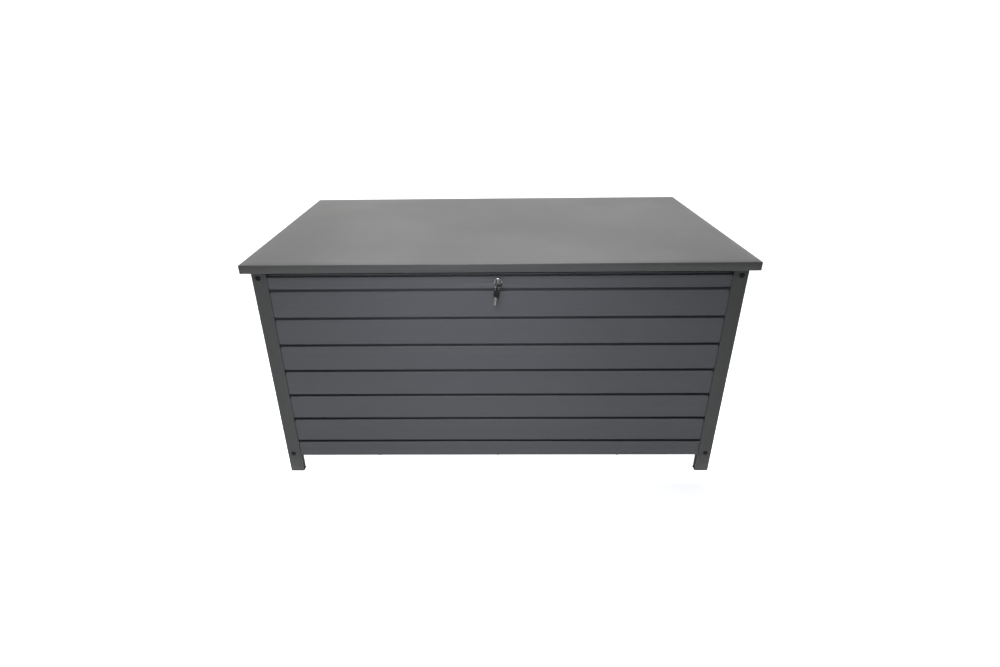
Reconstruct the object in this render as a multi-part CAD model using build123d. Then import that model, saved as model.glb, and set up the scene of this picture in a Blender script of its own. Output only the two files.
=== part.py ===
from build123d import *
import os
from math import atan2, cos, degrees, radians, sin, sqrt

# Deck storage box of powder-coated aluminium, in millimetres.
# X runs along the box, +Y towards the back, +Z up.  The floor is at Z = 0.
# While the pieces are made, Y = 0 is the plane of the front posts' faces.

# ---------------------------------------------------------------- driving dimensions
LID_WIDTH = 1200.0
LID_DEPTH = 620.0
LID_EDGE = 21.0           # height of the lid's turned-down edge
OVERHANG = 17.5           # lid past the posts, all round
LID_LIFT = 11.5           # lid's lower edge above the top rails
SHEET = 1.2               # lid's sheet metal
LINING = 1.0
HEM = 12.0                # return at the foot of the lid's edge
LID_CORNER = 1.5          # rounding of the folded corners
LID_FRAME_WIDTH = 70.0
LID_FRAME_WALL = 1.5
LID_RIB_WIDTH = 40.0
LID_RIB_PITCH = 300.0
LID_GAP = 0.2             # play between the lid's inner pieces

WALL = 1.8                # wall of posts and rails
POST_FACE = 35.0          # post's face, seen from the front and from the side
POST_LEG = 16.0           # depth of the post's front leg
POST_CHAMBER = 28.0       # width of the post's closed part
POST_CLEARANCE = 1.5      # post's top under the lid
CAP_PLATE = 1.5
FOOT_PLATE = 3.0
FOOT_LIP = 1.5            # foot's plate past the post's inner edges
FOOT_PLUG = 22.0

BOARD_THICKNESS = 12.0
BOARD_WALL = 1.3
BOARD_PITCH = 75.0
BOARD_COUNT = 6
REBATE = 6.5              # depth of the shadow groove
GROOVE = 7.5              # height of the shadow groove
POCKET = 4.0              # the groove's floor below the face's top edge
TONGUE = 6.0              # tongue above the groove
LIP_GAP = 0.4             # front lip before the tongue that it hides
EDGE_BREAK = 0.8          # small bevel where a face meets its groove
NOTCH_DEPTH = 8.0         # cut-off corner at each end of a face's top edge
NOTCH_REACH = 4.0         # that cut's slope, past the post's edge

GROUND_CLEARANCE = 54.0   # underside of the bottom rails
BOTTOM_RAIL_HEIGHT = 54.0
TOP_RAIL_FACE = 31.6
TOP_RAIL_HEIGHT = 37.0
TOP_RAIL_STEP = 5.0       # setback above the top rail's face
RAIL_DEPTH = 26.4
C_RAIL_WEB = 30.0         # height of the open part of the front and back bottom rails

PORT_OUTER = 4.8          # radius of the screw port in the side rails
PORT_HOLE = 3.0
PORT_HEIGHT = 7.6         # port's axis above the side bottom rail's underside
PORT_DROP = 7.5           # port's axis below the side top rail's top
PORT_STEM = 3.0

BOLT_HEAD_RADIUS = 5.0
BOLT_HEAD_HEIGHT = 6.0
BOLT_LENGTH = 27.0
BOLT_SOCKET_ACROSS = 5.0
BOLT_SOCKET_DEPTH = 3.0
CAP_RADIUS = 6.3
CAP_HEIGHT = 1.2
CAP_ROUNDING = 0.7
CAP_HOLE_RADIUS = 6.0
CAP_STEM = 2.5

BEARER_SIZE = 20.0
BEARER_WALL = 1.5
BEARER_PITCH = 328.0
BEARER_SCREW_INSET = 6.5  # screw's axis behind the front plane
FLOOR_THICKNESS = 6.0

PANEL_SCREW_RADIUS = 1.5
PANEL_SCREW_LENGTH = 7.0
PANEL_HEAD_RADIUS = 3.0
PANEL_HEAD_HEIGHT = 1.8
SMALL_SCREW_RADIUS = 2.0
SMALL_SCREW_LENGTH = 8.0
SMALL_HEAD_RADIUS = 4.0
SMALL_HEAD_HEIGHT = 2.2
BEARER_SCREW_RADIUS = 2.0
BEARER_SCREW_LENGTH = 10.0
BEARER_HEAD_RADIUS = 4.5
BEARER_HEAD_HEIGHT = 3.2
HEAD_ROUNDING = 0.45      # share of a screw head's height
RECESS_WIDTH = 0.7        # share of a screw head's radius
RECESS_DEPTH = 0.5        # share of a screw head's height

BRACKET_LEG = 22.0
BRACKET_THICKNESS = 2.0
BRACKET_HEIGHT = 25.0
BRACKET_SCREW_INSET = 7.7     # screw's axis from the leg's free end

SEAL_WIDTH = 8.0
SEAL_INSET = 18.0         # outer side of the seal behind the posts' faces

HINGE_COUNT = 3
HINGE_PITCH = 400.0
HINGE_LENGTH = 70.0
HINGE_KNUCKLES = 5
KNUCKLE_RADIUS = 4.0
HINGE_PIN_RADIUS = 2.0
HINGE_PLATE = 2.0
HINGE_PIN_HEAD = 1.2
HINGE_CLEARANCE = 1.0           # leaves keep this far from the other's knuckles
HINGE_BOX_LEAF = 36.0
HINGE_BOX_SCREW_DROP = 22.0     # box leaf's screws below the hinge's axis
HINGE_LID_LEAF = 13.0
HINGE_SCREW_SPACING = 50.0

STRUT_RADIUS_OF_SWING = 250.0   # both strut pivots lie this far from the hinge's axis
STRUT_ANGLE = 72.0              # angle between them, seen from the hinge, lid shut
STRUT_PIVOT_DROP = 12.0         # lid-side pivot below the lid
STRUT_INSET = 47.5              # strut's plane inside the posts' outer faces
STRUT_TUBE_RADIUS = 9.0
STRUT_TUBE_WALL = 1.2
STRUT_ROD_RADIUS = 4.0
STRUT_EYE_RADIUS = 9.0
STRUT_EYE_THICKNESS = 8.0
STRUT_PIN_RADIUS = 4.0
STRUT_NECK = 18.0               # from each pivot to the end of its tube or nut
STRUT_PISTON = 6.0
STRUT_PISTON_GAP = 8.0          # piston above the tube's floor, lid shut
STRUT_GUIDE = 12.0
STRUT_COLLAR = 3.0              # pivot pins' collars and clips past the pin, all round
STRUT_CLIP = 1.5                # thickness of the clip at a pin's free end
STRUT_BAR_WIDTH = 30.0
STRUT_BAR_THICKNESS = 3.0
BAR_SCREW_DROPS = (12.0, 24.0)  # bar's upper screws below the rails' top
STRUT_TAB_GAP = 5.0             # bracket's upright tab beside the strut's eye
STRUT_TAB_THICKNESS = 2.5
STRUT_TAB_HALF = 11.0
STRUT_TAB_MARGIN = 4.0          # tab below its pin
STRUT_FLANGE = 28.0
STRUT_FLANGE_SCREW_Y = 16.0
STRUT_FLANGE_MARGIN = 2.0       # flange past its screws' heads

LOCK_BELOW_RAIL_TOP = 20.0
LOCK_FACE_RADIUS = 9.5
LOCK_FACE_THICKNESS = 2.5
LOCK_FACE_ROUNDING = 1.25
LOCK_BARREL_RADIUS = 8.0
LOCK_BARREL_LENGTH = 31.4
LOCK_PLUG_RADIUS = 5.3
NUT_ACROSS = 20.0
NUT_THICKNESS = 4.0
CAM_THICKNESS = 2.0
CAM_WIDTH = 14.0
CAM_REACH = 27.0
CAM_TAIL = 2.5            # half the square tail that drives the cam
CAM_SCREW_LENGTH = 7.0
STRIKE_PLATE = 1.5
STRIKE_FLANGE = 14.0
STRIKE_X = 13.0
STRIKE_WIDTH = 14.0
STRIKE_GAP = 0.7          # strike's lip under the shut cam
STRIKE_LIP = 2.0
STRIKE_CLEARANCE = 1.0    # strike's upright behind the cam
STRIKE_SCREW_Y = 7.7      # flange's screws behind the upright's front

KEY_WIDTH = 16.0
KEY_HEAD_LENGTH = 22.0
KEY_HEAD_THICKNESS = 2.6
KEY_BLADE_WIDTH = 5.0
KEY_BLADE_THICKNESS = 1.8
KEY_BLADE_LENGTH = 20.0
KEY_SOCKET = 8.0          # length of the blade inside the head
KEY_TIP = 1.5             # blade's end short of the keyway's end
KEY_FIRST_CUT = 4.8       # first bitting cut from the lock's face
KEY_CUT_PITCH = 3.5
KEY_CUT_DEPTHS = (1.0, 1.8, 0.7, 1.5)
KEY_SHOULDER = 3.0        # head's inner end in front of the lock's face
KEY_HEAD_BEVEL = 0.5
KEY_HOLE_RADIUS = 2.5
KEY_HOLE_INSET = 5.5      # hole's centre from the head's outer end
RING_RADIUS = 7.5
RING_WIRE = 0.7
RING_TURN = 40.0          # ring's plane, turned from square to the front
RING_SLACK = 1.0          # head's faces inside the ring's wire
SPARE_KEY_LEAN = 10.0

FIT = 0.3                 # slack between pieces that are pushed together
RUNNING = 0.05            # radial clearance of pins and shafts
SCREW_HOLE_SLACK = 0.1
OVERCUT = 1.0             # cutters start this far outside what they cut

# ---------------------------------------------------------------- worked out from them
BODY_WIDTH = LID_WIDTH - 2 * OVERHANG
BODY_DEPTH = LID_DEPTH - 2 * OVERHANG
SLOT = POST_LEG - 2 * WALL                # post's channel, and its chamber's depth
SKIN = WALL                               # boards and rails lie this far behind the posts' faces
LIP_THICKNESS = REBATE - LIP_GAP
FIRST_JOINT = GROUND_CLEARANCE + BOTTOM_RAIL_HEIGHT
LAST_JOINT = FIRST_JOINT + BOARD_COUNT * BOARD_PITCH
RAIL_TOP = LAST_JOINT + TOP_RAIL_HEIGHT
LID_UNDERSIDE = RAIL_TOP + LID_LIFT
LID_TOP = LID_UNDERSIDE + LID_EDGE
POST_TOP = LID_UNDERSIDE - POST_CLEARANCE
RAIL_INNER = SKIN + RAIL_DEPTH            # rails' inner faces behind the posts' faces
LEDGE = WALL + BEARER_SIZE                # height of the side bottom rails' ledge
FLOOR_UNDERSIDE = GROUND_CLEARANCE + LEDGE
FLOOR_TOP = FLOOR_UNDERSIDE + FLOOR_THICKNESS
BOLT_INSET = SKIN + RAIL_DEPTH / 2
BOLT_LEVELS = (GROUND_CLEARANCE + PORT_HEIGHT, RAIL_TOP - PORT_DROP)
FRONT_END = RAIL_INNER + FIT              # front and back pieces end this far from the side
SIDE_END = POST_LEG + FIT                 # side pieces end this far from the front
HINGE_Y = BODY_DEPTH - SKIN + KNUCKLE_RADIUS
HINGE_Z = LID_UNDERSIDE - FIT - KNUCKLE_RADIUS
HINGE_SAFE = KNUCKLE_RADIUS + HINGE_CLEARANCE
LID_BACK = BODY_DEPTH + OVERHANG
LID_HALF = LID_WIDTH / 2
LID_FRAME_LOW = LID_UNDERSIDE + SHEET + LID_GAP
LID_FRAME_HIGH = LID_TOP - SHEET - LID_GAP
LINING_UNDERSIDE = LID_UNDERSIDE + SHEET - LINING
LOCK_Z = RAIL_TOP - LOCK_BELOW_RAIL_TOP
LOCK_FACE_Y = SKIN - LOCK_FACE_THICKNESS
CAM_Y = SKIN + LOCK_BARREL_LENGTH + FIT
STRIKE_Y = CAM_Y + CAM_THICKNESS + STRIKE_CLEARANCE
KEY_HEAD_Y = LOCK_FACE_Y - KEY_SHOULDER
KEY_HOLE_Y = KEY_HEAD_Y - KEY_HEAD_LENGTH + KEY_HOLE_INSET
RING_INNER = RING_RADIUS - RING_WIRE
RING_DIRECTION = (-sin(radians(RING_TURN)), -cos(radians(RING_TURN)))

# The ring hangs over the bar of plastic between the key's hole and its outer end.
RING_OFFSET = sqrt(RING_INNER**2 - (RING_INNER - KEY_HEAD_THICKNESS / 2 - RING_SLACK) ** 2)
RING_X = RING_OFFSET * RING_DIRECTION[0]
RING_Y = KEY_HOLE_Y + RING_OFFSET * RING_DIRECTION[1]
RING_Z = (LOCK_Z + KEY_HEAD_THICKNESS / 2 + FIT
          - sqrt(RING_INNER**2 - (RING_OFFSET - KEY_HOLE_RADIUS) ** 2))
RING_BOTTOM = RING_Z - RING_RADIUS

# Both strut pivots lie on one circle round the hinge, so the strut always turns half as
# far as the lid, and the rod stays in line with its tube at every angle.
STRUT_HIGH_Z = LID_UNDERSIDE - STRUT_PIVOT_DROP
STRUT_HIGH_Y = HINGE_Y - sqrt(STRUT_RADIUS_OF_SWING**2 - (HINGE_Z - STRUT_HIGH_Z) ** 2)
STRUT_HIGH = (STRUT_HIGH_Y, STRUT_HIGH_Z)
STRUT_LOW_ANGLE = STRUT_ANGLE + degrees(atan2(STRUT_HIGH_Z - HINGE_Z, STRUT_HIGH_Y - HINGE_Y))
STRUT_LOW_Y = HINGE_Y + STRUT_RADIUS_OF_SWING * cos(radians(STRUT_LOW_ANGLE))
STRUT_LOW_Z = HINGE_Z + STRUT_RADIUS_OF_SWING * sin(radians(STRUT_LOW_ANGLE))
STRUT_LOW = (STRUT_LOW_Y, STRUT_LOW_Z)
STRUT_LENGTH = 2 * STRUT_RADIUS_OF_SWING * sin(radians(STRUT_ANGLE / 2))
STRUT_X = BODY_WIDTH / 2 - STRUT_INSET
STRUT_TAB_X = STRUT_X + STRUT_EYE_THICKNESS / 2 + STRUT_TAB_GAP
BAR_X = BODY_WIDTH / 2 - RAIL_INNER       # outer face of the bar, on the rails' inner faces
BAR_SCREW_LEVELS = [GROUND_CLEARANCE + LEDGE / 2] + [RAIL_TOP - drop for drop in BAR_SCREW_DROPS]

# The origin is under the middle of the whole object's box, whose front is the key ring.
FRONT_REACH = RING_Y - (RING_RADIUS + RING_WIRE) * cos(radians(RING_TURN))
CENTRE_Y = (FRONT_REACH + BODY_DEPTH + OVERHANG) / 2

pieces = {}


# ---------------------------------------------------------------- shared shapes
def rect(x0, x1, y0, y1):
    """A rectangle between two corners."""
    return Pos((x0 + x1) / 2, (y0 + y1) / 2) * Rectangle(x1 - x0, y1 - y0)


def block(x0, x1, y0, y1, z0, z1):
    """A box between two corners."""
    centre = Pos((x0 + x1) / 2, (y0 + y1) / 2, (z0 + z1) / 2)
    return centre * Box(x1 - x0, y1 - y0, z1 - z0)


def rod_along(axis, radius, start, length):
    """A round bar from a point, along +X, +Y or +Z."""
    turn = {"x": Rot(0, 90, 0), "y": Rot(-90, 0, 0), "z": Rot(0, 0, 0)}[axis]
    bar = Cylinder(radius, length, align=(Align.CENTER, Align.CENTER, Align.MIN))
    return Pos(*start) * turn * bar


def screw(head_radius, head_height, shank_radius, shank_length):
    """A pan-head screw: shank along +Z from 0, head below 0, with a square recess."""
    head = Cylinder(head_radius, head_height, align=(Align.CENTER, Align.CENTER, Align.MAX))
    head = fillet(head.edges().sort_by(Axis.Z)[0], head_height * HEAD_ROUNDING)
    shank = rod_along("z", shank_radius, (0, 0, 0), shank_length)
    half = head_radius * RECESS_WIDTH / 2
    recess = block(-half, half, -half, half, -head_height, -head_height * (1 - RECESS_DEPTH))
    return head + shank - recess


def pointing(axis, sign):
    """The turn that takes a screw's +Z to +X, -X, +Y, -Y, +Z or -Z."""
    turns = {
        ("x", 1): Rot(0, 90, 0), ("x", -1): Rot(0, -90, 0),
        ("y", 1): Rot(-90, 0, 0), ("y", -1): Rot(90, 0, 0),
        ("z", 1): Rot(0, 0, 0), ("z", -1): Rot(180, 0, 0),
    }
    return turns[(axis, sign)]


def four_corners(shape):
    """A front-left piece and its three mirrored copies, in order FL, FR, BL, BR."""
    right = mirror(shape, about=Plane.YZ)
    middle = Plane.XZ.offset(-BODY_DEPTH / 2)
    return [shape, right, mirror(shape, about=middle), mirror(right, about=middle)]


def group(shapes):
    """Several separate solids as one node."""
    return Compound(children=[solid for shape in shapes for solid in shape.solids()])


def at_corner(shape):
    """Moves a shape from corner coordinates to the front left corner."""
    return Pos(-BODY_WIDTH / 2, 0, 0) * shape


def on_side(side, shape):
    """Places a piece that was made for the front on one of the four sides."""
    places = {
        "front": Pos(0, 0, 0),
        "back": Pos(0, BODY_DEPTH, 0) * Rot(0, 0, 180),
        "left": Pos(-BODY_WIDTH / 2, BODY_DEPTH / 2, 0) * Rot(0, 0, -90),
        "right": Pos(BODY_WIDTH / 2, BODY_DEPTH / 2, 0) * Rot(0, 0, 90),
    }
    return places[side] * shape


def section_face(points):
    """The face inside an outline that is listed clockwise."""
    return Polygon(*reversed(points), align=None)


def side_length(side):
    """Length of the rails and boards between two posts."""
    if side in ("front", "back"):
        return BODY_WIDTH - 2 * FRONT_END
    return BODY_DEPTH - 2 * SIDE_END


def extrusion(section, length, base):
    """A section (inwards from the skin, upwards from base), drawn along the side."""
    profile = Plane.YZ * Pos(SKIN, base) * section
    return Pos(-length / 2, 0, 0) * extrude(profile, length, dir=(1, 0, 0))


# ---------------------------------------------------------------- posts, feet and caps
def post():
    """Corner post: a closed front leg with a channel at each free edge for the boards."""
    section = rect(0, POST_FACE, 0, POST_LEG) + rect(0, POST_LEG, POST_LEG, POST_FACE)
    section -= rect(WALL, POST_CHAMBER - WALL, WALL, WALL + SLOT)
    section -= rect(POST_CHAMBER, POST_FACE, WALL, WALL + SLOT)
    section -= rect(WALL, WALL + SLOT, POST_LEG, POST_FACE)
    body = Pos(0, 0, FOOT_PLATE) * extrude(section, POST_TOP - CAP_PLATE - FOOT_PLATE)
    # The inner lips are milled away where the deep rails pass.
    for low, high in ((GROUND_CLEARANCE - FIT, FLOOR_TOP + FIT),
                      (LAST_JOINT + TONGUE + FIT, POST_TOP)):
        body -= block(POST_CHAMBER, POST_FACE, WALL + SLOT, POST_LEG, low, high)
        body -= block(WALL + SLOT, POST_LEG, POST_LEG, POST_FACE, low, high)
    for level in BOLT_LEVELS:
        body -= rod_along("y", CAP_HOLE_RADIUS, (BOLT_INSET, 0, level), WALL)
        body -= rod_along("y", PORT_HOLE + FIT, (BOLT_INSET, POST_LEG - WALL, level), WALL)
    for x, level in panel_screw_places():
        body -= rod_along("y", PANEL_SCREW_RADIUS + SCREW_HOLE_SLACK,
                          (x, POST_LEG - WALL, level), WALL)
    return at_corner(body)


def post_plan(lip):
    """The post's L-shaped plan, with its inner edges moved out by lip."""
    reach = POST_FACE + lip
    return rect(0, reach, 0, POST_LEG) + rect(0, POST_LEG, POST_LEG, reach)


def foot():
    """Black moulded foot: a plate under the post, and plugs up its hollows."""
    body = extrude(post_plan(FOOT_LIP), FOOT_PLATE)
    low, high = WALL + FIT, WALL + SLOT - FIT
    plug_top = FOOT_PLATE + FOOT_PLUG
    filler_top = GROUND_CLEARANCE - FIT
    body += block(low, POST_CHAMBER - WALL - FIT, low, high, FOOT_PLATE, plug_top)
    body += block(POST_CHAMBER + FIT, POST_FACE, low, high, FOOT_PLATE, filler_top)
    body += block(low, high, POST_LEG + FIT, POST_FACE, FOOT_PLATE, filler_top)
    return at_corner(body)


def post_cap():
    """Black cap that closes the top of the post."""
    plate = Pos(0, 0, POST_TOP - CAP_PLATE) * extrude(post_plan(0), CAP_PLATE)
    low, high = WALL + FIT, WALL + SLOT - FIT
    top = POST_TOP - CAP_PLATE
    plug = block(low, POST_CHAMBER - WALL - FIT, low, high, RAIL_TOP + FIT, top)
    return at_corner(plate + plug)


def frame_bolt(level):
    """Socket-head bolt that pulls a side rail against the post."""
    seat = POST_LEG - WALL
    head = rod_along("y", BOLT_HEAD_RADIUS, (0, seat - BOLT_HEAD_HEIGHT, 0), BOLT_HEAD_HEIGHT)
    shank = rod_along("y", PORT_HOLE - RUNNING, (0, seat, 0), BOLT_LENGTH)
    hexagon = RegularPolygon(BOLT_SOCKET_ACROSS / 2, 6, major_radius=False)
    socket_start = Pos(0, seat - BOLT_HEAD_HEIGHT, 0) * Rot(-90, 0, 0)
    socket = socket_start * extrude(hexagon, BOLT_SOCKET_DEPTH)
    return at_corner(Pos(BOLT_INSET, 0, level) * (head + shank - socket))


def bolt_cap(level):
    """Black push-in cap over a bolt's access hole."""
    disc = rod_along("y", CAP_RADIUS, (0, -CAP_HEIGHT, 0), CAP_HEIGHT)
    disc = fillet(disc.edges().sort_by(Axis.Y)[0], CAP_ROUNDING)
    stem = rod_along("y", CAP_HOLE_RADIUS - SCREW_HOLE_SLACK, (0, 0, 0), CAP_STEM)
    return at_corner(Pos(BOLT_INSET, 0, level) * (disc + stem))


# ---------------------------------------------------------------- rails and boards
def joint_top(height, back):
    """The points of a shadow groove and tongue on top of a board or rail, front to back."""
    face = height - GROOVE
    floor = face - POCKET
    return [
        (0, face - EDGE_BREAK), (EDGE_BREAK, face), (BOARD_WALL, face), (BOARD_WALL, floor),
        (REBATE, floor), (REBATE, height + TONGUE), (back, height + TONGUE),
    ]


def joint_foot():
    """The points of a front lip under a board or rail, back to front."""
    roof = TONGUE + FIT
    return [(LIP_THICKNESS, roof), (LIP_THICKNESS, 0), (EDGE_BREAK, 0), (0, EDGE_BREAK)]


def end_notches(side, top):
    """The cut-off corners at both ends of a face whose groove ends at this height."""
    end = side_length(side) / 2
    hidden = POST_FACE - (FRONT_END if side in ("front", "back") else SIDE_END)
    edge = end - hidden
    face = top - GROOVE
    corner = Polygon((end, face - NOTCH_DEPTH), (end, face), (edge - NOTCH_REACH, face),
                     (edge, face - NOTCH_DEPTH), align=None)
    notch = Pos(0, SKIN, 0) * extrude(Plane.XZ * corner, REBATE, dir=(0, 1, 0))
    return [on_side(side, notch), on_side(side, mirror(notch, about=Plane.YZ))]


def board(side, index):
    """One hollow shiplap board."""
    back = BOARD_THICKNESS
    outline = joint_top(BOARD_PITCH, back) + [(back, TONGUE + FIT)] + joint_foot()
    section = section_face(outline)
    face = BOARD_PITCH - GROOVE
    middle = (TONGUE + face) / 2
    low, high = TONGUE + FIT + BOARD_WALL, face - POCKET - BOARD_WALL
    section -= rect(BOARD_WALL, back - BOARD_WALL, low, middle - BOARD_WALL / 2)
    section -= rect(BOARD_WALL, back - BOARD_WALL, middle + BOARD_WALL / 2, high)
    base = FIRST_JOINT + index * BOARD_PITCH
    body = on_side(side, extrusion(section, side_length(side), base))
    return body - end_notches(side, base + BOARD_PITCH)


def screw_port(height):
    """The outer round of a screw port, on the rail's middle line."""
    return Pos(RAIL_DEPTH / 2, height) * Circle(PORT_OUTER)


def long_bottom_rail(side):
    """Front or back bottom rail: a C that is open inwards, for the floor bearers' ends."""
    height, back = BOTTOM_RAIL_HEIGHT, BOARD_THICKNESS
    outline = [(0, EDGE_BREAK)] + joint_top(height, back) + [
        (back, C_RAIL_WEB), (WALL, C_RAIL_WEB), (WALL, WALL),
        (RAIL_DEPTH, WALL), (RAIL_DEPTH, 0), (EDGE_BREAK, 0),
    ]
    section = section_face(outline)
    section -= rect(WALL, back - WALL, C_RAIL_WEB + WALL, height - GROOVE - POCKET - WALL)
    rail = on_side(side, extrusion(section, side_length(side), GROUND_CLEARANCE))
    rail -= end_notches(side, FIRST_JOINT)
    for hole in bearer_screw_places(side):
        rail -= rod_along("z", BEARER_SCREW_RADIUS + SCREW_HOLE_SLACK, hole, WALL)
    for x, level in panel_screw_places():
        for end in (-1, 1):
            place = (end * (BODY_WIDTH / 2 - x), SKIN + back - WALL, level)
            hole = rod_along("y", PANEL_SCREW_RADIUS + SCREW_HOLE_SLACK, place, WALL)
            rail -= on_side(side, hole)
    return rail


def short_bottom_rail(side):
    """Side bottom rail: a board's face over a wide box, whose top is the floor's ledge."""
    height, back = BOTTOM_RAIL_HEIGHT, BOARD_THICKNESS
    outline = [(0, EDGE_BREAK)] + joint_top(height, back) + [
        (back, LEDGE), (RAIL_DEPTH, LEDGE), (RAIL_DEPTH, 0), (EDGE_BREAK, 0),
    ]
    section = section_face(outline)
    section -= rect(WALL, back - WALL, LEDGE, height - GROOVE - POCKET - WALL)
    section -= rect(WALL, RAIL_DEPTH - WALL, WALL, LEDGE - WALL)
    middle = RAIL_DEPTH / 2
    section += screw_port(PORT_HEIGHT)
    section += rect(middle - PORT_STEM / 2, middle + PORT_STEM / 2, WALL / 2, PORT_HEIGHT)
    section -= Pos(middle, PORT_HEIGHT) * Circle(PORT_HOLE)
    rail = on_side(side, extrusion(section, side_length(side), GROUND_CLEARANCE))
    return rail - end_notches(side, FIRST_JOINT) - strut_bar_holes(side)


def top_rail(side):
    """Top rail: a low face over the last joint, set back above it to carry the seal."""
    roof = TONGUE + FIT
    outline = [
        (0, TOP_RAIL_FACE - EDGE_BREAK), (EDGE_BREAK, TOP_RAIL_FACE),
        (TOP_RAIL_STEP, TOP_RAIL_FACE), (TOP_RAIL_STEP, TOP_RAIL_HEIGHT),
        (RAIL_DEPTH, TOP_RAIL_HEIGHT), (RAIL_DEPTH, roof),
    ] + joint_foot()
    section = section_face(outline)
    section -= rect(WALL, RAIL_DEPTH - WALL, roof + WALL, TOP_RAIL_FACE - WALL)
    section -= rect(TOP_RAIL_STEP + WALL, RAIL_DEPTH - WALL,
                    TOP_RAIL_FACE - 2 * WALL, TOP_RAIL_HEIGHT - WALL)
    if side in ("left", "right"):
        middle, height = RAIL_DEPTH / 2, TOP_RAIL_HEIGHT - PORT_DROP
        section += screw_port(height)
        section += rect(middle - PORT_STEM / 2, middle + PORT_STEM / 2,
                        height, TOP_RAIL_HEIGHT - WALL / 2)
        section -= Pos(middle, height) * Circle(PORT_HOLE)
    rail = on_side(side, extrusion(section, side_length(side), LAST_JOINT))
    for place, axis, sign in bracket_screw_places(side):
        rail -= Pos(*place) * pointing(axis, sign) * rod_along(
            "z", SMALL_SCREW_RADIUS + SCREW_HOLE_SLACK, (0, 0, 0), WALL)
    if side == "front":
        radius = LOCK_BARREL_RADIUS + SCREW_HOLE_SLACK
        rail -= rod_along("y", radius, (0, SKIN, LOCK_Z), RAIL_DEPTH)
    if side in ("left", "right"):
        rail -= strut_bar_holes(side)
    return rail


# ---------------------------------------------------------------- screws of the frame
def panel_screw_places():
    """Where a screw goes through a post's inner lip into a long bottom rail."""
    above_web = (C_RAIL_WEB + BOTTOM_RAIL_HEIGHT - GROOVE - POCKET) / 2
    return [((POST_CHAMBER + POST_FACE) / 2, GROUND_CLEARANCE + above_web)]


def panel_screws():
    """Screws that hold the long bottom rails in the posts' channels."""
    shapes = []
    for x, level in panel_screw_places():
        one = Pos(x, POST_LEG, level) * pointing("y", -1)
        one *= screw(PANEL_HEAD_RADIUS, PANEL_HEAD_HEIGHT, PANEL_SCREW_RADIUS, PANEL_SCREW_LENGTH)
        shapes += four_corners(at_corner(one))
    return group(shapes)


def corner_bracket():
    """Steel angle that ties two top rails together inside a corner."""
    low = RAIL_TOP - BRACKET_HEIGHT - FIT
    start = FRONT_END + FIT
    thick = BRACKET_THICKNESS
    reach = start + BRACKET_LEG
    leg_a = block(RAIL_INNER, reach, RAIL_INNER, RAIL_INNER + thick, low, low + BRACKET_HEIGHT)
    leg_b = block(RAIL_INNER, RAIL_INNER + thick, RAIL_INNER, reach, low, low + BRACKET_HEIGHT)
    body = leg_a + leg_b
    middle = low + BRACKET_HEIGHT / 2
    hole = SMALL_SCREW_RADIUS + SCREW_HOLE_SLACK
    along = bracket_screw_offset()
    body -= rod_along("y", hole, (along, RAIL_INNER, middle), thick)
    body -= rod_along("x", hole, (RAIL_INNER, along, middle), thick)
    return at_corner(body)


def bracket_screw_offset():
    """Bracket screw's distance from the corner."""
    return FRONT_END + FIT + BRACKET_LEG - BRACKET_SCREW_INSET


def bracket_level():
    """Height of the bracket screws."""
    return RAIL_TOP - FIT - BRACKET_HEIGHT / 2


def bracket_screw_places(side):
    """The two bracket screws on a side: (point on the rail's inner face, axis, sign)."""
    along, level = bracket_screw_offset(), bracket_level()
    sign = -1 if side in ("front", "left") else 1
    if side in ("front", "back"):
        y = BODY_DEPTH / 2 + sign * (BODY_DEPTH / 2 - RAIL_INNER)
        return [((end * (BODY_WIDTH / 2 - along), y, level), "y", sign) for end in (-1, 1)]
    x = sign * (BODY_WIDTH / 2 - RAIL_INNER)
    return [((x, y, level), "x", sign) for y in (along, BODY_DEPTH - along)]


def bracket_screws():
    """Screws through the corner brackets into the top rails."""
    shapes = []
    lift = BRACKET_THICKNESS
    for side in ("front", "back", "left", "right"):
        for (x, y, z), axis, sign in bracket_screw_places(side):
            if axis == "y":
                place = Pos(x, y - sign * lift, z)
            else:
                place = Pos(x - sign * lift, y, z)
            shapes.append(place * pointing(axis, sign) * screw(
                SMALL_HEAD_RADIUS, SMALL_HEAD_HEIGHT, SMALL_SCREW_RADIUS, SMALL_SCREW_LENGTH))
    return group(shapes)


# ---------------------------------------------------------------- floor
def bearer_columns():
    """X of each floor bearer."""
    return [-BEARER_PITCH, 0, BEARER_PITCH]


def bearer_screw_places(side):
    """Undersides of the bearer screws' holes along one long rail."""
    y = BEARER_SCREW_INSET if side == "front" else BODY_DEPTH - BEARER_SCREW_INSET
    return [(x, y, GROUND_CLEARANCE) for x in bearer_columns()]


def floor_bearers():
    """Square tubes that cross the box on the long rails' lower flanges."""
    start = SKIN + WALL + FIT
    base = GROUND_CLEARANCE + WALL
    half, wall = BEARER_SIZE / 2, BEARER_WALL
    tubes = []
    for x in bearer_columns():
        tube = block(x - half, x + half, start, BODY_DEPTH - start, base, base + BEARER_SIZE)
        tube -= block(x - half + wall, x + half - wall, start, BODY_DEPTH - start,
                      base + wall, base + BEARER_SIZE - wall)
        for side in ("front", "back"):
            for place in bearer_screw_places(side):
                tube -= rod_along("z", BEARER_SCREW_RADIUS + SCREW_HOLE_SLACK, place,
                                  WALL + 2 * wall)
        tubes.append(tube)
    return group(tubes)


def bearer_screws():
    """Pan-head screws, driven up through the long rails into the bearers."""
    one = screw(BEARER_HEAD_RADIUS, BEARER_HEAD_HEIGHT, BEARER_SCREW_RADIUS, BEARER_SCREW_LENGTH)
    return group([Pos(*place) * one
                  for side in ("front", "back") for place in bearer_screw_places(side)])


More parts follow.
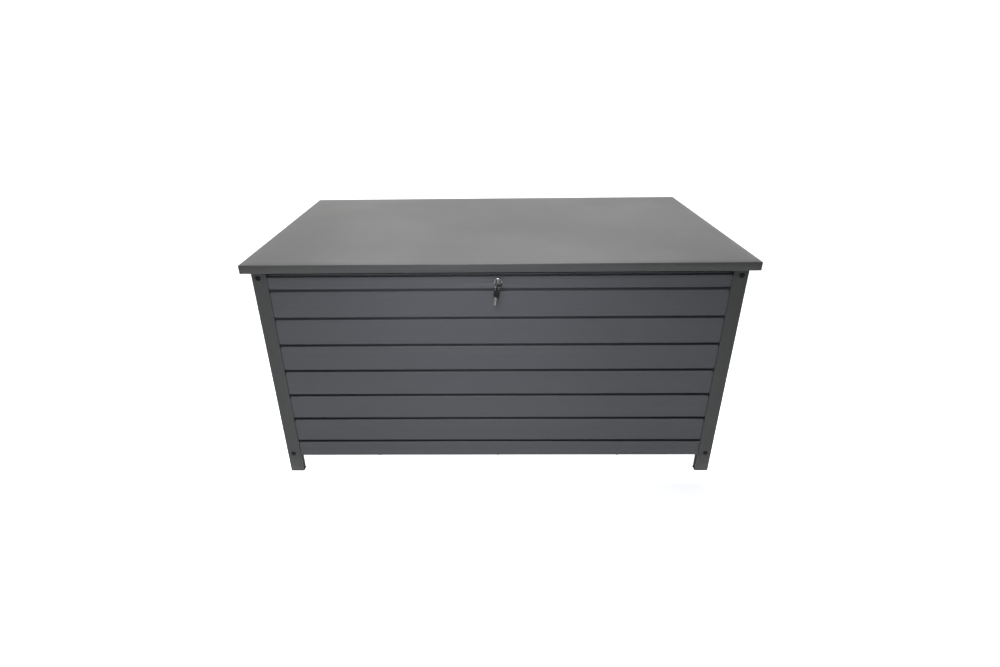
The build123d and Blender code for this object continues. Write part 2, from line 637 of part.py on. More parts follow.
def floor_panel():
    """Loose floor panel, notched round the posts and the strut bars."""
    front = SKIN + WALL + 2 * FIT
    side = SKIN + BOARD_THICKNESS + 2 * FIT
    half = BODY_WIDTH / 2
    panel = block(-half + side, half - side, front, BODY_DEPTH - front, FLOOR_UNDERSIDE, FLOOR_TOP)
    notch = block(0, FRONT_END + FIT, 0, POST_FACE + 2 * FIT, FLOOR_UNDERSIDE, FLOOR_TOP)
    for corner in four_corners(at_corner(notch)):
        panel -= corner
    for sign in (-1, 1):
        inner = sign * (half - RAIL_INNER - STRUT_BAR_THICKNESS - FIT)
        outer = sign * half
        reach = STRUT_BAR_WIDTH / 2 + FIT
        panel -= block(min(inner, outer), max(inner, outer),
                       STRUT_LOW_Y - reach, STRUT_LOW_Y + reach, FLOOR_UNDERSIDE, FLOOR_TOP)
    return panel


# ---------------------------------------------------------------- seal
def weather_seal():
    """Four strips of black rubber on the top rails, mitred at the corners."""
    inset, width = SEAL_INSET, SEAL_WIDTH
    half, depth = BODY_WIDTH / 2, BODY_DEPTH
    top = LID_UNDERSIDE - FIT
    gap = FIT
    strips = []
    for sign in (-1, 1):
        outer, inner = half - inset, half - inset - width
        front, back = inset + gap, depth - inset - gap
        side_strip = Polygon((sign * outer, front), (sign * inner, front + width),
                             (sign * inner, back - width), (sign * outer, back), align=None)
        strips.append(side_strip)
    for near, far in ((inset, inset + width), (depth - inset, depth - inset - width)):
        outer, inner = half - inset - gap, half - inset - width - gap
        strips.append(Polygon((-outer, near), (-inner, far), (inner, far), (outer, near),
                              align=None))
    return group([Pos(0, 0, RAIL_TOP) * extrude(strip, top - RAIL_TOP, dir=(0, 0, 1))
                  for strip in strips])


# ---------------------------------------------------------------- lid
def lid_skin():
    """Folded sheet-metal tray, open below, with a hem at the foot of its edge."""
    inset = SHEET
    tray = block(-LID_HALF, LID_HALF, -OVERHANG, LID_BACK, LID_UNDERSIDE, LID_TOP)
    upright = tray.edges().filter_by(Axis.Z)
    upper = tray.faces().sort_by(Axis.Z)[-1].edges()
    tray = fillet(list(upright) + list(upper), LID_CORNER)
    tray -= block(inset - LID_HALF, LID_HALF - inset, inset - OVERHANG, LID_BACK - inset,
                  LID_UNDERSIDE + SHEET, LID_TOP - SHEET)
    inset = SHEET + HEM
    tray -= block(inset - LID_HALF, LID_HALF - inset, inset - OVERHANG, LID_BACK - inset,
                  LID_UNDERSIDE, LID_UNDERSIDE + SHEET)
    return tray


def tube(x0, x1, y0, y1, along):
    """A flat hollow profile inside the lid, along X or Y."""
    wall = LID_FRAME_WALL
    body = block(x0, x1, y0, y1, LID_FRAME_LOW, LID_FRAME_HIGH)
    dx, dy = (0, wall) if along == "x" else (wall, 0)
    return body - block(x0 + dx, x1 - dx, y0 + dy, y1 - dy,
                        LID_FRAME_LOW + wall, LID_FRAME_HIGH - wall)


def lid_frame():
    """Four hollow members inside the tray's edge."""
    edge = SHEET + LID_GAP
    x1, x0 = LID_HALF - edge, LID_HALF - edge - LID_FRAME_WIDTH
    y0, y1 = edge - OVERHANG, LID_BACK - edge
    members = [
        tube(-x1, x1, y0, y0 + LID_FRAME_WIDTH, "x"),
        tube(-x1, x1, y1 - LID_FRAME_WIDTH, y1, "x"),
    ]
    inner0, inner1 = y0 + LID_FRAME_WIDTH + LID_GAP, y1 - LID_FRAME_WIDTH - LID_GAP
    members += [tube(-x1, -x0, inner0, inner1, "y"), tube(x0, x1, inner0, inner1, "y")]
    holes = [Pos(*place) * rod_along("z", SMALL_SCREW_RADIUS + SCREW_HOLE_SLACK, (0, 0, 0),
                                     LID_FRAME_LOW + LID_FRAME_WALL - LID_UNDERSIDE)
             for place in lid_screw_places()]
    return group([member - holes for member in members])


def lid_ribs():
    """Cross ribs between the lid's front and back members."""
    edge = SHEET + 2 * LID_GAP + LID_FRAME_WIDTH
    half = LID_RIB_WIDTH / 2
    return group([tube(x - half, x + half, edge - OVERHANG, LID_BACK - edge, "y")
                  for x in (-LID_RIB_PITCH, 0, LID_RIB_PITCH)])


def lid_lining():
    """Flat sheet that closes the lid from below."""
    edge = SHEET + HEM + LID_GAP
    top = LID_UNDERSIDE + SHEET
    sheet = block(edge - LID_HALF, LID_HALF - edge, edge - OVERHANG, LID_BACK - edge,
                  top - LINING, top)
    for place in lid_screw_places():
        sheet -= Pos(*place) * rod_along("z", SMALL_SCREW_RADIUS + SCREW_HOLE_SLACK,
                                         (0, 0, 0), SHEET)
    return sheet


# ---------------------------------------------------------------- hinges
def hinge_columns():
    """X of each hinge's middle."""
    first = -(HINGE_COUNT - 1) / 2
    return [(first + index) * HINGE_PITCH for index in range(HINGE_COUNT)]


def knuckles(owner):
    """X spans of the knuckles of one leaf, from the hinge's middle."""
    pitch = HINGE_LENGTH / HINGE_KNUCKLES
    spans = []
    for index in range(HINGE_KNUCKLES):
        if index % 2 == owner:
            start = -HINGE_LENGTH / 2 + index * pitch
            spans.append((start + FIT / 2, start + pitch - FIT / 2))
    return spans


def hinge_box_leaf(x):
    """Leaf on the back of the top rail, with three of the five knuckles."""
    face = BODY_DEPTH - SKIN
    top = HINGE_Z - HINGE_SAFE
    leaf = block(-HINGE_LENGTH / 2, HINGE_LENGTH / 2, face, face + HINGE_PLATE,
                 HINGE_Z - HINGE_BOX_LEAF, top)
    for start, end in knuckles(0):
        leaf += block(start, end, face, face + HINGE_PLATE, top, HINGE_Z)
        leaf += rod_along("x", KNUCKLE_RADIUS, (start, HINGE_Y, HINGE_Z), end - start)
    leaf -= hinge_bore()
    for shift in (-HINGE_SCREW_SPACING / 2, HINGE_SCREW_SPACING / 2):
        leaf -= rod_along("y", SMALL_SCREW_RADIUS + SCREW_HOLE_SLACK,
                          (shift, face, HINGE_Z - HINGE_BOX_SCREW_DROP), HINGE_PLATE)
    return Pos(x, 0, 0) * leaf


def hinge_lid_leaf(x):
    """Leaf under the lid, with two of the five knuckles."""
    back = HINGE_Y - HINGE_SAFE
    top = LINING_UNDERSIDE
    low = top - HINGE_PLATE
    leaf = block(-HINGE_LENGTH / 2, HINGE_LENGTH / 2, back - HINGE_LID_LEAF, back, low, top)
    for start, end in knuckles(1):
        leaf += block(start, end, back, HINGE_Y, low, HINGE_Z + KNUCKLE_RADIUS)
        leaf += rod_along("x", KNUCKLE_RADIUS, (start, HINGE_Y, HINGE_Z), end - start)
    leaf -= hinge_bore()
    for shift in (-HINGE_SCREW_SPACING / 2, HINGE_SCREW_SPACING / 2):
        leaf -= rod_along("z", SMALL_SCREW_RADIUS + SCREW_HOLE_SLACK,
                          (shift, hinge_lid_screw_y(), low), HINGE_PLATE)
    return Pos(x, 0, 0) * leaf


def hinge_bore():
    """The bore through a hinge's knuckles."""
    return rod_along("x", HINGE_PIN_RADIUS + RUNNING, (-HINGE_LENGTH, HINGE_Y, HINGE_Z),
                     2 * HINGE_LENGTH)


def hinge_lid_screw_y():
    """Y of the lid leaf's screws."""
    return HINGE_Y - HINGE_SAFE - HINGE_LID_LEAF / 2


def hinge_pin(x):
    """Pin with a small head at each end."""
    start = x - HINGE_LENGTH / 2
    head = HINGE_PIN_HEAD
    pin = rod_along("x", HINGE_PIN_RADIUS, (start, HINGE_Y, HINGE_Z), HINGE_LENGTH)
    for end in (start - head, start + HINGE_LENGTH):
        pin += rod_along("x", HINGE_PIN_RADIUS + head, (end, HINGE_Y, HINGE_Z), head)
    return pin


def hinge_box_screws():
    """Screws through the box leaves into the back top rail."""
    one = screw(SMALL_HEAD_RADIUS - FIT, SMALL_HEAD_HEIGHT, SMALL_SCREW_RADIUS, SMALL_SCREW_LENGTH)
    face = BODY_DEPTH - SKIN + HINGE_PLATE
    return group([Pos(x + shift, face, HINGE_Z - HINGE_BOX_SCREW_DROP) * pointing("y", -1) * one
                  for x in hinge_columns()
                  for shift in (-HINGE_SCREW_SPACING / 2, HINGE_SCREW_SPACING / 2)])


def hinge_rail_holes():
    """Holes in the back top rail for the hinge screws."""
    return [rod_along("y", SMALL_SCREW_RADIUS + SCREW_HOLE_SLACK,
                      (x + shift, BODY_DEPTH - SKIN - WALL, HINGE_Z - HINGE_BOX_SCREW_DROP), WALL)
            for x in hinge_columns()
            for shift in (-HINGE_SCREW_SPACING / 2, HINGE_SCREW_SPACING / 2)]


# ---------------------------------------------------------------- gas struts
def along_strut(sign, shape):
    """Places a shape made along +Z from the lower pivot, on the left (-1) or right (1)."""
    x_dir = Vector(1, 0, 0)
    line = Vector(0, STRUT_HIGH_Y - STRUT_LOW_Y, STRUT_HIGH_Z - STRUT_LOW_Z)
    plane = Plane(origin=(sign * STRUT_X, *STRUT_LOW), x_dir=x_dir, z_dir=line)
    return plane.location * shape


def eye(height):
    """A flat eye across the strut's line, bored for its pivot pin."""
    disc = rod_along("x", STRUT_EYE_RADIUS, (-STRUT_EYE_THICKNESS / 2, 0, height),
                     STRUT_EYE_THICKNESS)
    bore = rod_along("x", STRUT_PIN_RADIUS + RUNNING, (-STRUT_EYE_THICKNESS, 0, height),
                     2 * STRUT_EYE_THICKNESS)
    return disc, bore


def strut_cylinder(sign):
    """Gas strut's tube, closed below, with a guide in its mouth and an eye at its foot."""
    disc, bore = eye(0)
    neck = rod_along("z", STRUT_ROD_RADIUS, (0, 0, 0), STRUT_NECK)
    length = STRUT_LENGTH - 2 * STRUT_NECK - STRUT_GUIDE / 2
    inner = STRUT_TUBE_RADIUS - STRUT_TUBE_WALL
    shell = rod_along("z", STRUT_TUBE_RADIUS, (0, 0, STRUT_NECK), length)
    shell -= rod_along("z", inner, (0, 0, STRUT_NECK + STRUT_GUIDE / 2),
                       length - STRUT_GUIDE * 3 / 2)
    shell -= rod_along("z", STRUT_ROD_RADIUS + FIT, (0, 0, STRUT_NECK + length - STRUT_GUIDE),
                       STRUT_GUIDE)
    return along_strut(sign, disc + neck + shell - bore)


def strut_rod(sign):
    """Polished rod with its piston below and its eye above."""
    disc, bore = eye(STRUT_LENGTH)
    low = STRUT_NECK + STRUT_GUIDE / 2 + STRUT_PISTON_GAP
    rod = rod_along("z", STRUT_ROD_RADIUS, (0, 0, low), STRUT_LENGTH - low)
    piston = rod_along("z", STRUT_TUBE_RADIUS - STRUT_TUBE_WALL - FIT, (0, 0, low), STRUT_PISTON)
    return along_strut(sign, disc + rod + piston - bore)


def pivot_pin(sign, place, base_x):
    """Pin across the strut's plane: a collar at its base and a clip at its free end."""
    collar_radius = STRUT_PIN_RADIUS + STRUT_COLLAR
    y, z = place
    free_end = STRUT_EYE_THICKNESS / 2 + FIT + STRUT_CLIP
    length = base_x - STRUT_X + free_end
    pin = rod_along("x", STRUT_PIN_RADIUS, (STRUT_X - free_end, y, z), length)
    pin += rod_along("x", collar_radius, (STRUT_X - free_end, y, z), STRUT_CLIP)
    start = STRUT_X + STRUT_EYE_THICKNESS / 2 + FIT
    pin += rod_along("x", collar_radius, (start, y, z), base_x - start)
    return pin if sign > 0 else mirror(pin, about=Plane.YZ)


def strut_bars():
    """Upright flat bars inside the two ends, which carry the struts' lower pins."""
    half = STRUT_BAR_WIDTH / 2
    y = STRUT_LOW_Y
    bar = block(BAR_X - STRUT_BAR_THICKNESS, BAR_X, y - half, y + half,
                GROUND_CLEARANCE + WALL, RAIL_TOP - WALL)
    for level in BAR_SCREW_LEVELS:
        bar -= rod_along("x", SMALL_SCREW_RADIUS + SCREW_HOLE_SLACK,
                         (BAR_X - STRUT_BAR_THICKNESS, y, level), STRUT_BAR_THICKNESS)
    return group([bar, mirror(bar, about=Plane.YZ)])


def strut_bar_holes(side):
    """Holes in a side's rails for the bar's screws."""
    radius = SMALL_SCREW_RADIUS + SCREW_HOLE_SLACK
    holes = [rod_along("x", radius, (BAR_X, STRUT_LOW_Y, level), WALL)
             for level in BAR_SCREW_LEVELS]
    if side == "left":
        holes = [mirror(hole, about=Plane.YZ) for hole in holes]
    return holes


def strut_bar_screws():
    """Screws through the bars into the rails."""
    one = screw(SMALL_HEAD_RADIUS, SMALL_HEAD_HEIGHT, SMALL_SCREW_RADIUS, SMALL_SCREW_LENGTH)
    shapes = []
    for level in BAR_SCREW_LEVELS:
        place = Pos(BAR_X - STRUT_BAR_THICKNESS, STRUT_LOW_Y, level)
        right = place * pointing("x", 1) * one
        shapes += [right, mirror(right, about=Plane.YZ)]
    return group(shapes)


def strut_box_pins():
    """Lower pivot pins, riveted to the bars."""
    base = BAR_X - STRUT_BAR_THICKNESS
    return group([pivot_pin(sign, STRUT_LOW, base) for sign in (-1, 1)])


def strut_lid_brackets():
    """Angles under the lid with the struts' upper pins."""
    top = LINING_UNDERSIDE
    y, z = STRUT_HIGH
    flange_half = STRUT_FLANGE_SCREW_Y + SMALL_HEAD_RADIUS + STRUT_FLANGE_MARGIN
    outer = STRUT_TAB_X + STRUT_TAB_THICKNESS
    bracket = block(outer - STRUT_FLANGE, outer, y - flange_half, y + flange_half,
                    top - BRACKET_THICKNESS, top)
    bracket += block(STRUT_TAB_X, outer, y - STRUT_TAB_HALF, y + STRUT_TAB_HALF,
                     z - STRUT_PIN_RADIUS - STRUT_TAB_MARGIN, top)
    bracket += pivot_pin(1, STRUT_HIGH, STRUT_TAB_X)
    for shift in (-STRUT_FLANGE_SCREW_Y, STRUT_FLANGE_SCREW_Y):
        bracket -= rod_along("z", SMALL_SCREW_RADIUS + SCREW_HOLE_SLACK,
                             (STRUT_X, y + shift, top - BRACKET_THICKNESS), BRACKET_THICKNESS)
    return group([bracket, mirror(bracket, about=Plane.YZ)])


# ---------------------------------------------------------------- lock, strike and keys
def lock_body():
    """Round lock body with a domed face, through the front top rail."""
    face = rod_along("y", LOCK_FACE_RADIUS, (0, LOCK_FACE_Y, 0), LOCK_FACE_THICKNESS)
    face = fillet(face.edges().sort_by(Axis.Y)[0], LOCK_FACE_ROUNDING)
    barrel = rod_along("y", LOCK_BARREL_RADIUS, (0, SKIN, 0), LOCK_BARREL_LENGTH)
    bore = rod_along("y", LOCK_PLUG_RADIUS + RUNNING, (0, LOCK_FACE_Y, 0),
                     LOCK_FACE_THICKNESS + LOCK_BARREL_LENGTH)
    return Pos(0, 0, LOCK_Z) * (face + barrel - bore)


def lock_nut():
    """Hexagon nut on the inside of the rail."""
    hexagon = RegularPolygon(NUT_ACROSS / 2, 6, major_radius=False)
    hexagon -= Circle(LOCK_BARREL_RADIUS + RUNNING)
    return Pos(0, RAIL_INNER, LOCK_Z) * Rot(-90, 0, 0) * extrude(hexagon, NUT_THICKNESS)


def lock_plug():
    """Plug that the key turns, with a keyway in front and a square tail behind."""
    end = SKIN + LOCK_BARREL_LENGTH
    plug = rod_along("y", LOCK_PLUG_RADIUS, (0, LOCK_FACE_Y, 0), end - LOCK_FACE_Y)
    tail_end = CAM_Y + CAM_THICKNESS
    plug += block(-CAM_TAIL, CAM_TAIL, end, tail_end, -CAM_TAIL, CAM_TAIL)
    width, height = KEY_BLADE_WIDTH / 2 + FIT, KEY_BLADE_THICKNESS / 2 + FIT
    plug -= block(-width, width, LOCK_FACE_Y, LOCK_FACE_Y + KEY_BLADE_LENGTH, -height, height)
    screw_hole = CAM_SCREW_LENGTH + FIT
    plug -= rod_along("y", SMALL_SCREW_RADIUS + SCREW_HOLE_SLACK,
                      (0, tail_end - screw_hole, 0), screw_hole)
    return Pos(0, 0, LOCK_Z) * plug


def lock_cam():
    """Flat cam.  It points up when the lid is free and sideways when it is locked."""
    half = CAM_WIDTH / 2
    outline = rect(-half, half, 0, CAM_REACH - half) + Circle(half)
    outline += Pos(0, CAM_REACH - half) * Circle(half)
    hole = CAM_TAIL + RUNNING
    outline -= rect(-hole, hole, -hole, hole)
    plate = extrude(Plane.XZ * outline, -CAM_THICKNESS)
    return Pos(0, CAM_Y, LOCK_Z) * plate


def cam_screw():
    """Screw that holds the cam on the plug's tail."""
    one = screw(SMALL_HEAD_RADIUS, SMALL_HEAD_HEIGHT, SMALL_SCREW_RADIUS, CAM_SCREW_LENGTH)
    return Pos(0, CAM_Y + CAM_THICKNESS, LOCK_Z) * pointing("y", -1) * one


def strike():
    """Hook under the lid: its lip lies under the cam when the cam is turned sideways."""
    top = LINING_UNDERSIDE
    front = STRIKE_Y
    lip_top = LOCK_Z - CAM_WIDTH / 2 - STRIKE_GAP
    x0, x1 = STRIKE_X, STRIKE_X + STRIKE_WIDTH
    hook = block(x0, x1, front, front + STRIKE_PLATE, lip_top - STRIKE_LIP, top)
    hook += block(x0, x1, CAM_Y - STRIKE_GAP, front, lip_top - STRIKE_LIP, lip_top)
    hook += block(-x1, x1, front, front + STRIKE_FLANGE, top - STRIKE_PLATE, top)
    for x, y in strike_screw_places():
        hook -= rod_along("z", SMALL_SCREW_RADIUS + SCREW_HOLE_SLACK, (x, y, top - STRIKE_PLATE),
                          STRIKE_PLATE)
    return hook


def strike_screw_places():
    """Screws of the strike's flange, as (X, Y)."""
    x, y = STRIKE_X + STRIKE_WIDTH / 2, STRIKE_Y + STRIKE_SCREW_Y
    return [(-x, y), (x, y)]


def lid_screw_places():
    """Every screw that goes up into the lid's frame: hinges, strut brackets, strike."""
    places = [(x + shift, hinge_lid_screw_y(), LID_UNDERSIDE)
              for x in hinge_columns()
              for shift in (-HINGE_SCREW_SPACING / 2, HINGE_SCREW_SPACING / 2)]
    places += [(sign * STRUT_X, STRUT_HIGH_Y + shift, LID_UNDERSIDE)
               for sign in (-1, 1) for shift in (-STRUT_FLANGE_SCREW_Y, STRUT_FLANGE_SCREW_Y)]
    places += [(x, y, LID_UNDERSIDE) for x, y in strike_screw_places()]
    return places


def lid_screws():
    """Screws of the lid's hinges, strut brackets and strike."""
    one = screw(SMALL_HEAD_RADIUS - FIT, SMALL_HEAD_HEIGHT, SMALL_SCREW_RADIUS, SMALL_SCREW_LENGTH)
    strike_places = strike_screw_places()
    shapes = []
    for x, y, _ in lid_screw_places():
        plate = STRIKE_PLATE if (x, y) in strike_places else BRACKET_THICKNESS
        shapes.append(Pos(x, y, LINING_UNDERSIDE - plate) * one)
    return group(shapes)


def key_head():
    """Black plastic head of a key, lying in the XY plane, its outer end towards -Y."""
    half = KEY_WIDTH / 2
    outline = rect(-half, half, half - KEY_HEAD_LENGTH, 0)
    outline += Pos(0, half - KEY_HEAD_LENGTH) * Circle(half)
    head = Pos(0, 0, -KEY_HEAD_THICKNESS / 2) * extrude(outline, KEY_HEAD_THICKNESS)
    head = chamfer(head.edges().filter_by(Axis.Z, reverse=True), KEY_HEAD_BEVEL)
    hole_start = (0, KEY_HOLE_INSET - KEY_HEAD_LENGTH, -KEY_HEAD_THICKNESS)
    head -= rod_along("z", KEY_HOLE_RADIUS, hole_start, 2 * KEY_HEAD_THICKNESS)
    width, height = KEY_BLADE_WIDTH / 2, KEY_BLADE_THICKNESS / 2
    return head - block(-width, width, -KEY_SOCKET, 0, -height, height)


def key_blade():
    """Nickel blade with a row of bitting cuts, running towards +Y from the head."""
    width, height = KEY_BLADE_WIDTH / 2, KEY_BLADE_THICKNESS / 2
    end = KEY_SHOULDER + KEY_BLADE_LENGTH - KEY_TIP
    blade = block(-width, width, -KEY_SOCKET, end, -height, height)
    for index, depth in enumerate(KEY_CUT_DEPTHS):
        middle = KEY_SHOULDER + KEY_FIRST_CUT + KEY_CUT_PITCH * index
        reach = depth + OVERCUT
        cut = Polygon((width + OVERCUT, middle - reach), (width - depth, middle),
                      (width + OVERCUT, middle + reach), align=None)
        blade -= Pos(0, 0, -height) * extrude(cut, 2 * height)
    return blade


def key_ring():
    """Split ring through the two keys' heads, shown as one closed turn."""
    turn = Rot(0, 0, -RING_TURN) * Rot(0, 90, 0)
    return Pos(RING_X, RING_Y, RING_Z) * turn * Torus(RING_RADIUS, RING_WIRE)


def hang_spare(shape):
    """Hangs a key's piece on the bottom of the ring."""
    drop = KEY_HOLE_RADIUS - RING_WIRE - FIT / 2
    to_hole = Pos(0, KEY_HEAD_LENGTH - KEY_HOLE_INSET, 0)
    upright = Rot(-90, 0, 0)
    lean = Rot(0, SPARE_KEY_LEAN, 0)
    turn = Rot(0, 0, -RING_TURN)
    wire = Pos(RING_X, RING_Y, RING_BOTTOM)
    return wire * turn * lean * Pos(0, 0, -drop) * upright * to_hole * shape


# ---------------------------------------------------------------- the list of pieces
def make_box():
    """Posts, feet, rails, boards, floor and their fasteners."""
    names = ("front_left_post", "front_right_post", "back_left_post", "back_right_post")
    for name, shape in zip(names, four_corners(post())):
        pieces[name] = shape
    pieces["feet"] = group(four_corners(foot()))
    pieces["post_top_caps"] = group(four_corners(post_cap()))
    bolts = [frame_bolt(level) for level in BOLT_LEVELS]
    caps = [bolt_cap(level) for level in BOLT_LEVELS]
    pieces["frame_bolts"] = group([copy for bolt in bolts for copy in four_corners(bolt)])
    pieces["bolt_caps"] = group([copy for cap in caps for copy in four_corners(cap)])
    for side in ("front", "back"):
        pieces[f"{side}_bottom_rail"] = long_bottom_rail(side)
    for side in ("left", "right"):
        pieces[f"{side}_bottom_rail"] = short_bottom_rail(side)
    for side in ("front", "back", "left", "right"):
        pieces[f"{side}_top_rail"] = top_rail(side)
    for hole in hinge_rail_holes():
        pieces["back_top_rail"] -= hole
    for index in range(BOARD_COUNT):
        pieces[f"front_board_{index + 1}"] = board("front", index)
    for side in ("back", "left", "right"):
        pieces[f"{side}_boards"] = group([board(side, index) for index in range(BOARD_COUNT)])
    pieces["corner_brackets"] = group(four_corners(corner_bracket()))
    pieces["bracket_screws"] = bracket_screws()
    pieces["panel_screws"] = panel_screws()
    pieces["floor_bearers"] = floor_bearers()
    pieces["bearer_screws"] = bearer_screws()
    pieces["floor_panel"] = floor_panel()
    pieces["weather_seal"] = weather_seal()


def make_lid():
    """Lid, hinges and struts."""
    pieces["lid_skin"] = lid_skin()
    pieces["lid_frame"] = lid_frame()
    pieces["lid_ribs"] = lid_ribs()
    pieces["lid_lining"] = lid_lining()
    pieces["lid_screws"] = lid_screws()
    pieces["hinge_box_leaves"] = group([hinge_box_leaf(x) for x in hinge_columns()])
    pieces["hinge_lid_leaves"] = group([hinge_lid_leaf(x) for x in hinge_columns()])
    pieces["hinge_pins"] = group([hinge_pin(x) for x in hinge_columns()])
    pieces["hinge_box_screws"] = hinge_box_screws()
    pieces["strut_bars"] = strut_bars()
    pieces["strut_bar_screws"] = strut_bar_screws()
    pieces["strut_box_pins"] = strut_box_pins()
    pieces["strut_lid_brackets"] = strut_lid_brackets()
    for side, sign in (("left", -1), ("right", 1)):
        pieces[f"{side}_strut_cylinder"] = strut_cylinder(sign)
        pieces[f"{side}_strut_rod"] = strut_rod(sign)


def make_lock():
    """Lock, strike, keys and ring."""
    pieces["lock_body"] = lock_body()
    pieces["lock_nut"] = lock_nut()
    pieces["lock_plug"] = lock_plug()
    pieces["lock_cam"] = lock_cam()
    pieces["lock_cam_screw"] = cam_screw()
    pieces["strike_plate"] = strike()
    in_lock = Pos(0, KEY_HEAD_Y, LOCK_Z)
    pieces["key_head"] = in_lock * key_head()
    pieces["key_blade"] = in_lock * key_blade()
    pieces["key_ring"] = key_ring()
    pieces["spare_key_head"] = hang_spare(key_head())
    pieces["spare_key_blade"] = hang_spare(key_blade())


make_box()
make_lid()
make_lock()

os.makedirs("parts", exist_ok=True)
for name, shape in pieces.items():
    export_step(Pos(0, -CENTRE_Y, 0) * shape, f"parts/{name}.step")

print("nodes", len(pieces))
print("centre of the box behind the front plane", round(CENTRE_Y, 3))
print("hinge axis", round(HINGE_Y - CENTRE_Y, 3), round(HINGE_Z, 3))
print("strut pivots, low", [round(v, 3) for v in (STRUT_LOW_Y - CENTRE_Y, STRUT_LOW_Z)],
      "high", [round(v, 3) for v in (STRUT_HIGH_Y - CENTRE_Y, STRUT_HIGH_Z)], "x", STRUT_X)
print("lock height", LOCK_Z)
print("ring", round(RING_X, 3), round(RING_Y - CENTRE_Y, 3), round(RING_Z, 3))
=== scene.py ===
from math import cos, pi, radians, sin

import bmesh
import bpy
from mathutils import Matrix, Vector


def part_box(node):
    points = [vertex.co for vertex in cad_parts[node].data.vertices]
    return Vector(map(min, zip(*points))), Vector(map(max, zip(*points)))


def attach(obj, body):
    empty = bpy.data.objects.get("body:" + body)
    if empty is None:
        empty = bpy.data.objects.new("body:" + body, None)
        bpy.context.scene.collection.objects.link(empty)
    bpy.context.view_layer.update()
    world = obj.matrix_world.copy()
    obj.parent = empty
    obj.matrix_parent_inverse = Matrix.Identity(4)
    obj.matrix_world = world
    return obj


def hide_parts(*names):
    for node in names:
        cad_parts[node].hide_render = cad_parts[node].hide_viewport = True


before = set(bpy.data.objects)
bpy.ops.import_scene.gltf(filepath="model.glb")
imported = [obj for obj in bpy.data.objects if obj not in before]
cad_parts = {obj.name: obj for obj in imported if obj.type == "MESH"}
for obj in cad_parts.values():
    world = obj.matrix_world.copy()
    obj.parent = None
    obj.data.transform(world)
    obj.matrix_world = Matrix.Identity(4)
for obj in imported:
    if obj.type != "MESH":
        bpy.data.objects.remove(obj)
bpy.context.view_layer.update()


# ------------------------------------------------------------------ camera
# It stands close in front of the box, a little left of its middle, and looks
# down on the lid through a wide lens.
camera_place = Vector((-0.0184, -1.3851, 1.0452))
camera_yaw = radians(-0.934)
camera_pitch = radians(23.405)
camera_roll = radians(-0.735)
camera_lens = 18.267
camera_shift_x = 0.0171
camera_shift_y = -0.0492

level = Vector((sin(camera_yaw), cos(camera_yaw), 0))
side = Vector((cos(camera_yaw), -sin(camera_yaw), 0))
ahead = level * cos(camera_pitch) - Vector((0, 0, sin(camera_pitch)))
above = level * sin(camera_pitch) + Vector((0, 0, cos(camera_pitch)))
right = side * cos(camera_roll) + above * sin(camera_roll)
top = above * cos(camera_roll) - side * sin(camera_roll)
turn = Matrix((right, top, -ahead)).transposed().to_4x4()

camera = bpy.data.objects.new("camera", bpy.data.cameras.new("camera"))
camera.data.sensor_width = 36
camera.data.lens = camera_lens
camera.data.shift_x = camera_shift_x
camera.data.shift_y = camera_shift_y
camera.data.clip_start = 0.01
camera.matrix_world = Matrix.Translation(camera_place) @ turn
bpy.context.scene.collection.objects.link(camera)
bpy.context.scene.camera = camera


# ------------------------------------------------------------------ floor and light
# A seamless sweep of white paper, which glows in parts with painted light though
# it is no lamp, under one broad lamp overhead.  Weaker lamps light the front,
# give the lid its sheen and fill the backdrop's corners.
def new_object(name, mesh):
    """A mesh as an object of the scene, at the origin."""
    thing = bpy.data.objects.new(name, mesh)
    bpy.context.scene.collection.objects.link(thing)
    return thing


sweep_half = 6.0
sweep_front = -5.0
sweep_back = 3.2
sweep_radius = 1.6
sweep_height = 5.0
sweep_steps = 16

outline = [(sweep_front, 0.0)]
for step in range(sweep_steps + 1):
    angle = pi / 2 * step / sweep_steps
    outline.append((sweep_back - sweep_radius + sweep_radius * sin(angle),
                    sweep_radius - sweep_radius * cos(angle)))
outline.append((sweep_back, sweep_height))
sweep = bmesh.new()
rows = [[sweep.verts.new((x, y, z)) for x in (-sweep_half, sweep_half)] for y, z in outline]
for near, far in zip(rows, rows[1:]):
    sweep.faces.new((near[0], near[1], far[1], far[0]))
for face in sweep.faces:
    face.smooth = True
sweep_mesh = bpy.data.meshes.new("studio_sweep")
sweep.to_mesh(sweep_mesh)
sweep.free()
studio_sweep = new_object("studio_sweep", sweep_mesh)

paper = bpy.data.materials.new("glowing_backdrop_paper")
paper.use_nodes = True
paper_nodes = paper.node_tree
paper_shader = paper_nodes.nodes["Principled BSDF"]
paper_shader.inputs["Base Color"].default_value = (0.95, 0.95, 0.95, 1)
paper_shader.inputs["Roughness"].default_value = 0.95
paper_shader.inputs["Specular IOR Level"].default_value = 0.1
paper_shader.inputs["Emission Color"].default_value = (1.0, 1.0, 1.0, 1)
# The paper glows with painted light in three zones: round the box, where it hides
# the box's shadow, over the floor's sides, and in the backdrop's corners.  A zone
# is the product of smooth changes, each an axis, its start and end, and two strengths.
painted_glow_zones = (
    (("Y", -0.34, -0.28, 0.0, 1.0), ("Y", 1.4, 0.7, 0.0, 1.0), ("X", 0.75, 0.95, 1.0, 0.4)),
    (("Y", 1.4, 0.7, 0.0, 1.0), ("X", 0.4, 1.0, 0.07, 0.2)),
    (("X", 1.9, 2.9, 0.0, 0.6),),
)
paper_place = paper_nodes.nodes.new("ShaderNodeTexCoord")
paper_sides = paper_nodes.nodes.new("ShaderNodeVectorMath")
paper_sides.operation = "ABSOLUTE"
paper_nodes.links.new(paper_place.outputs["Object"], paper_sides.inputs[0])
paper_axes = {"X": paper_nodes.nodes.new("ShaderNodeSeparateXYZ"),
              "Y": paper_nodes.nodes.new("ShaderNodeSeparateXYZ")}
paper_nodes.links.new(paper_sides.outputs["Vector"], paper_axes["X"].inputs["Vector"])
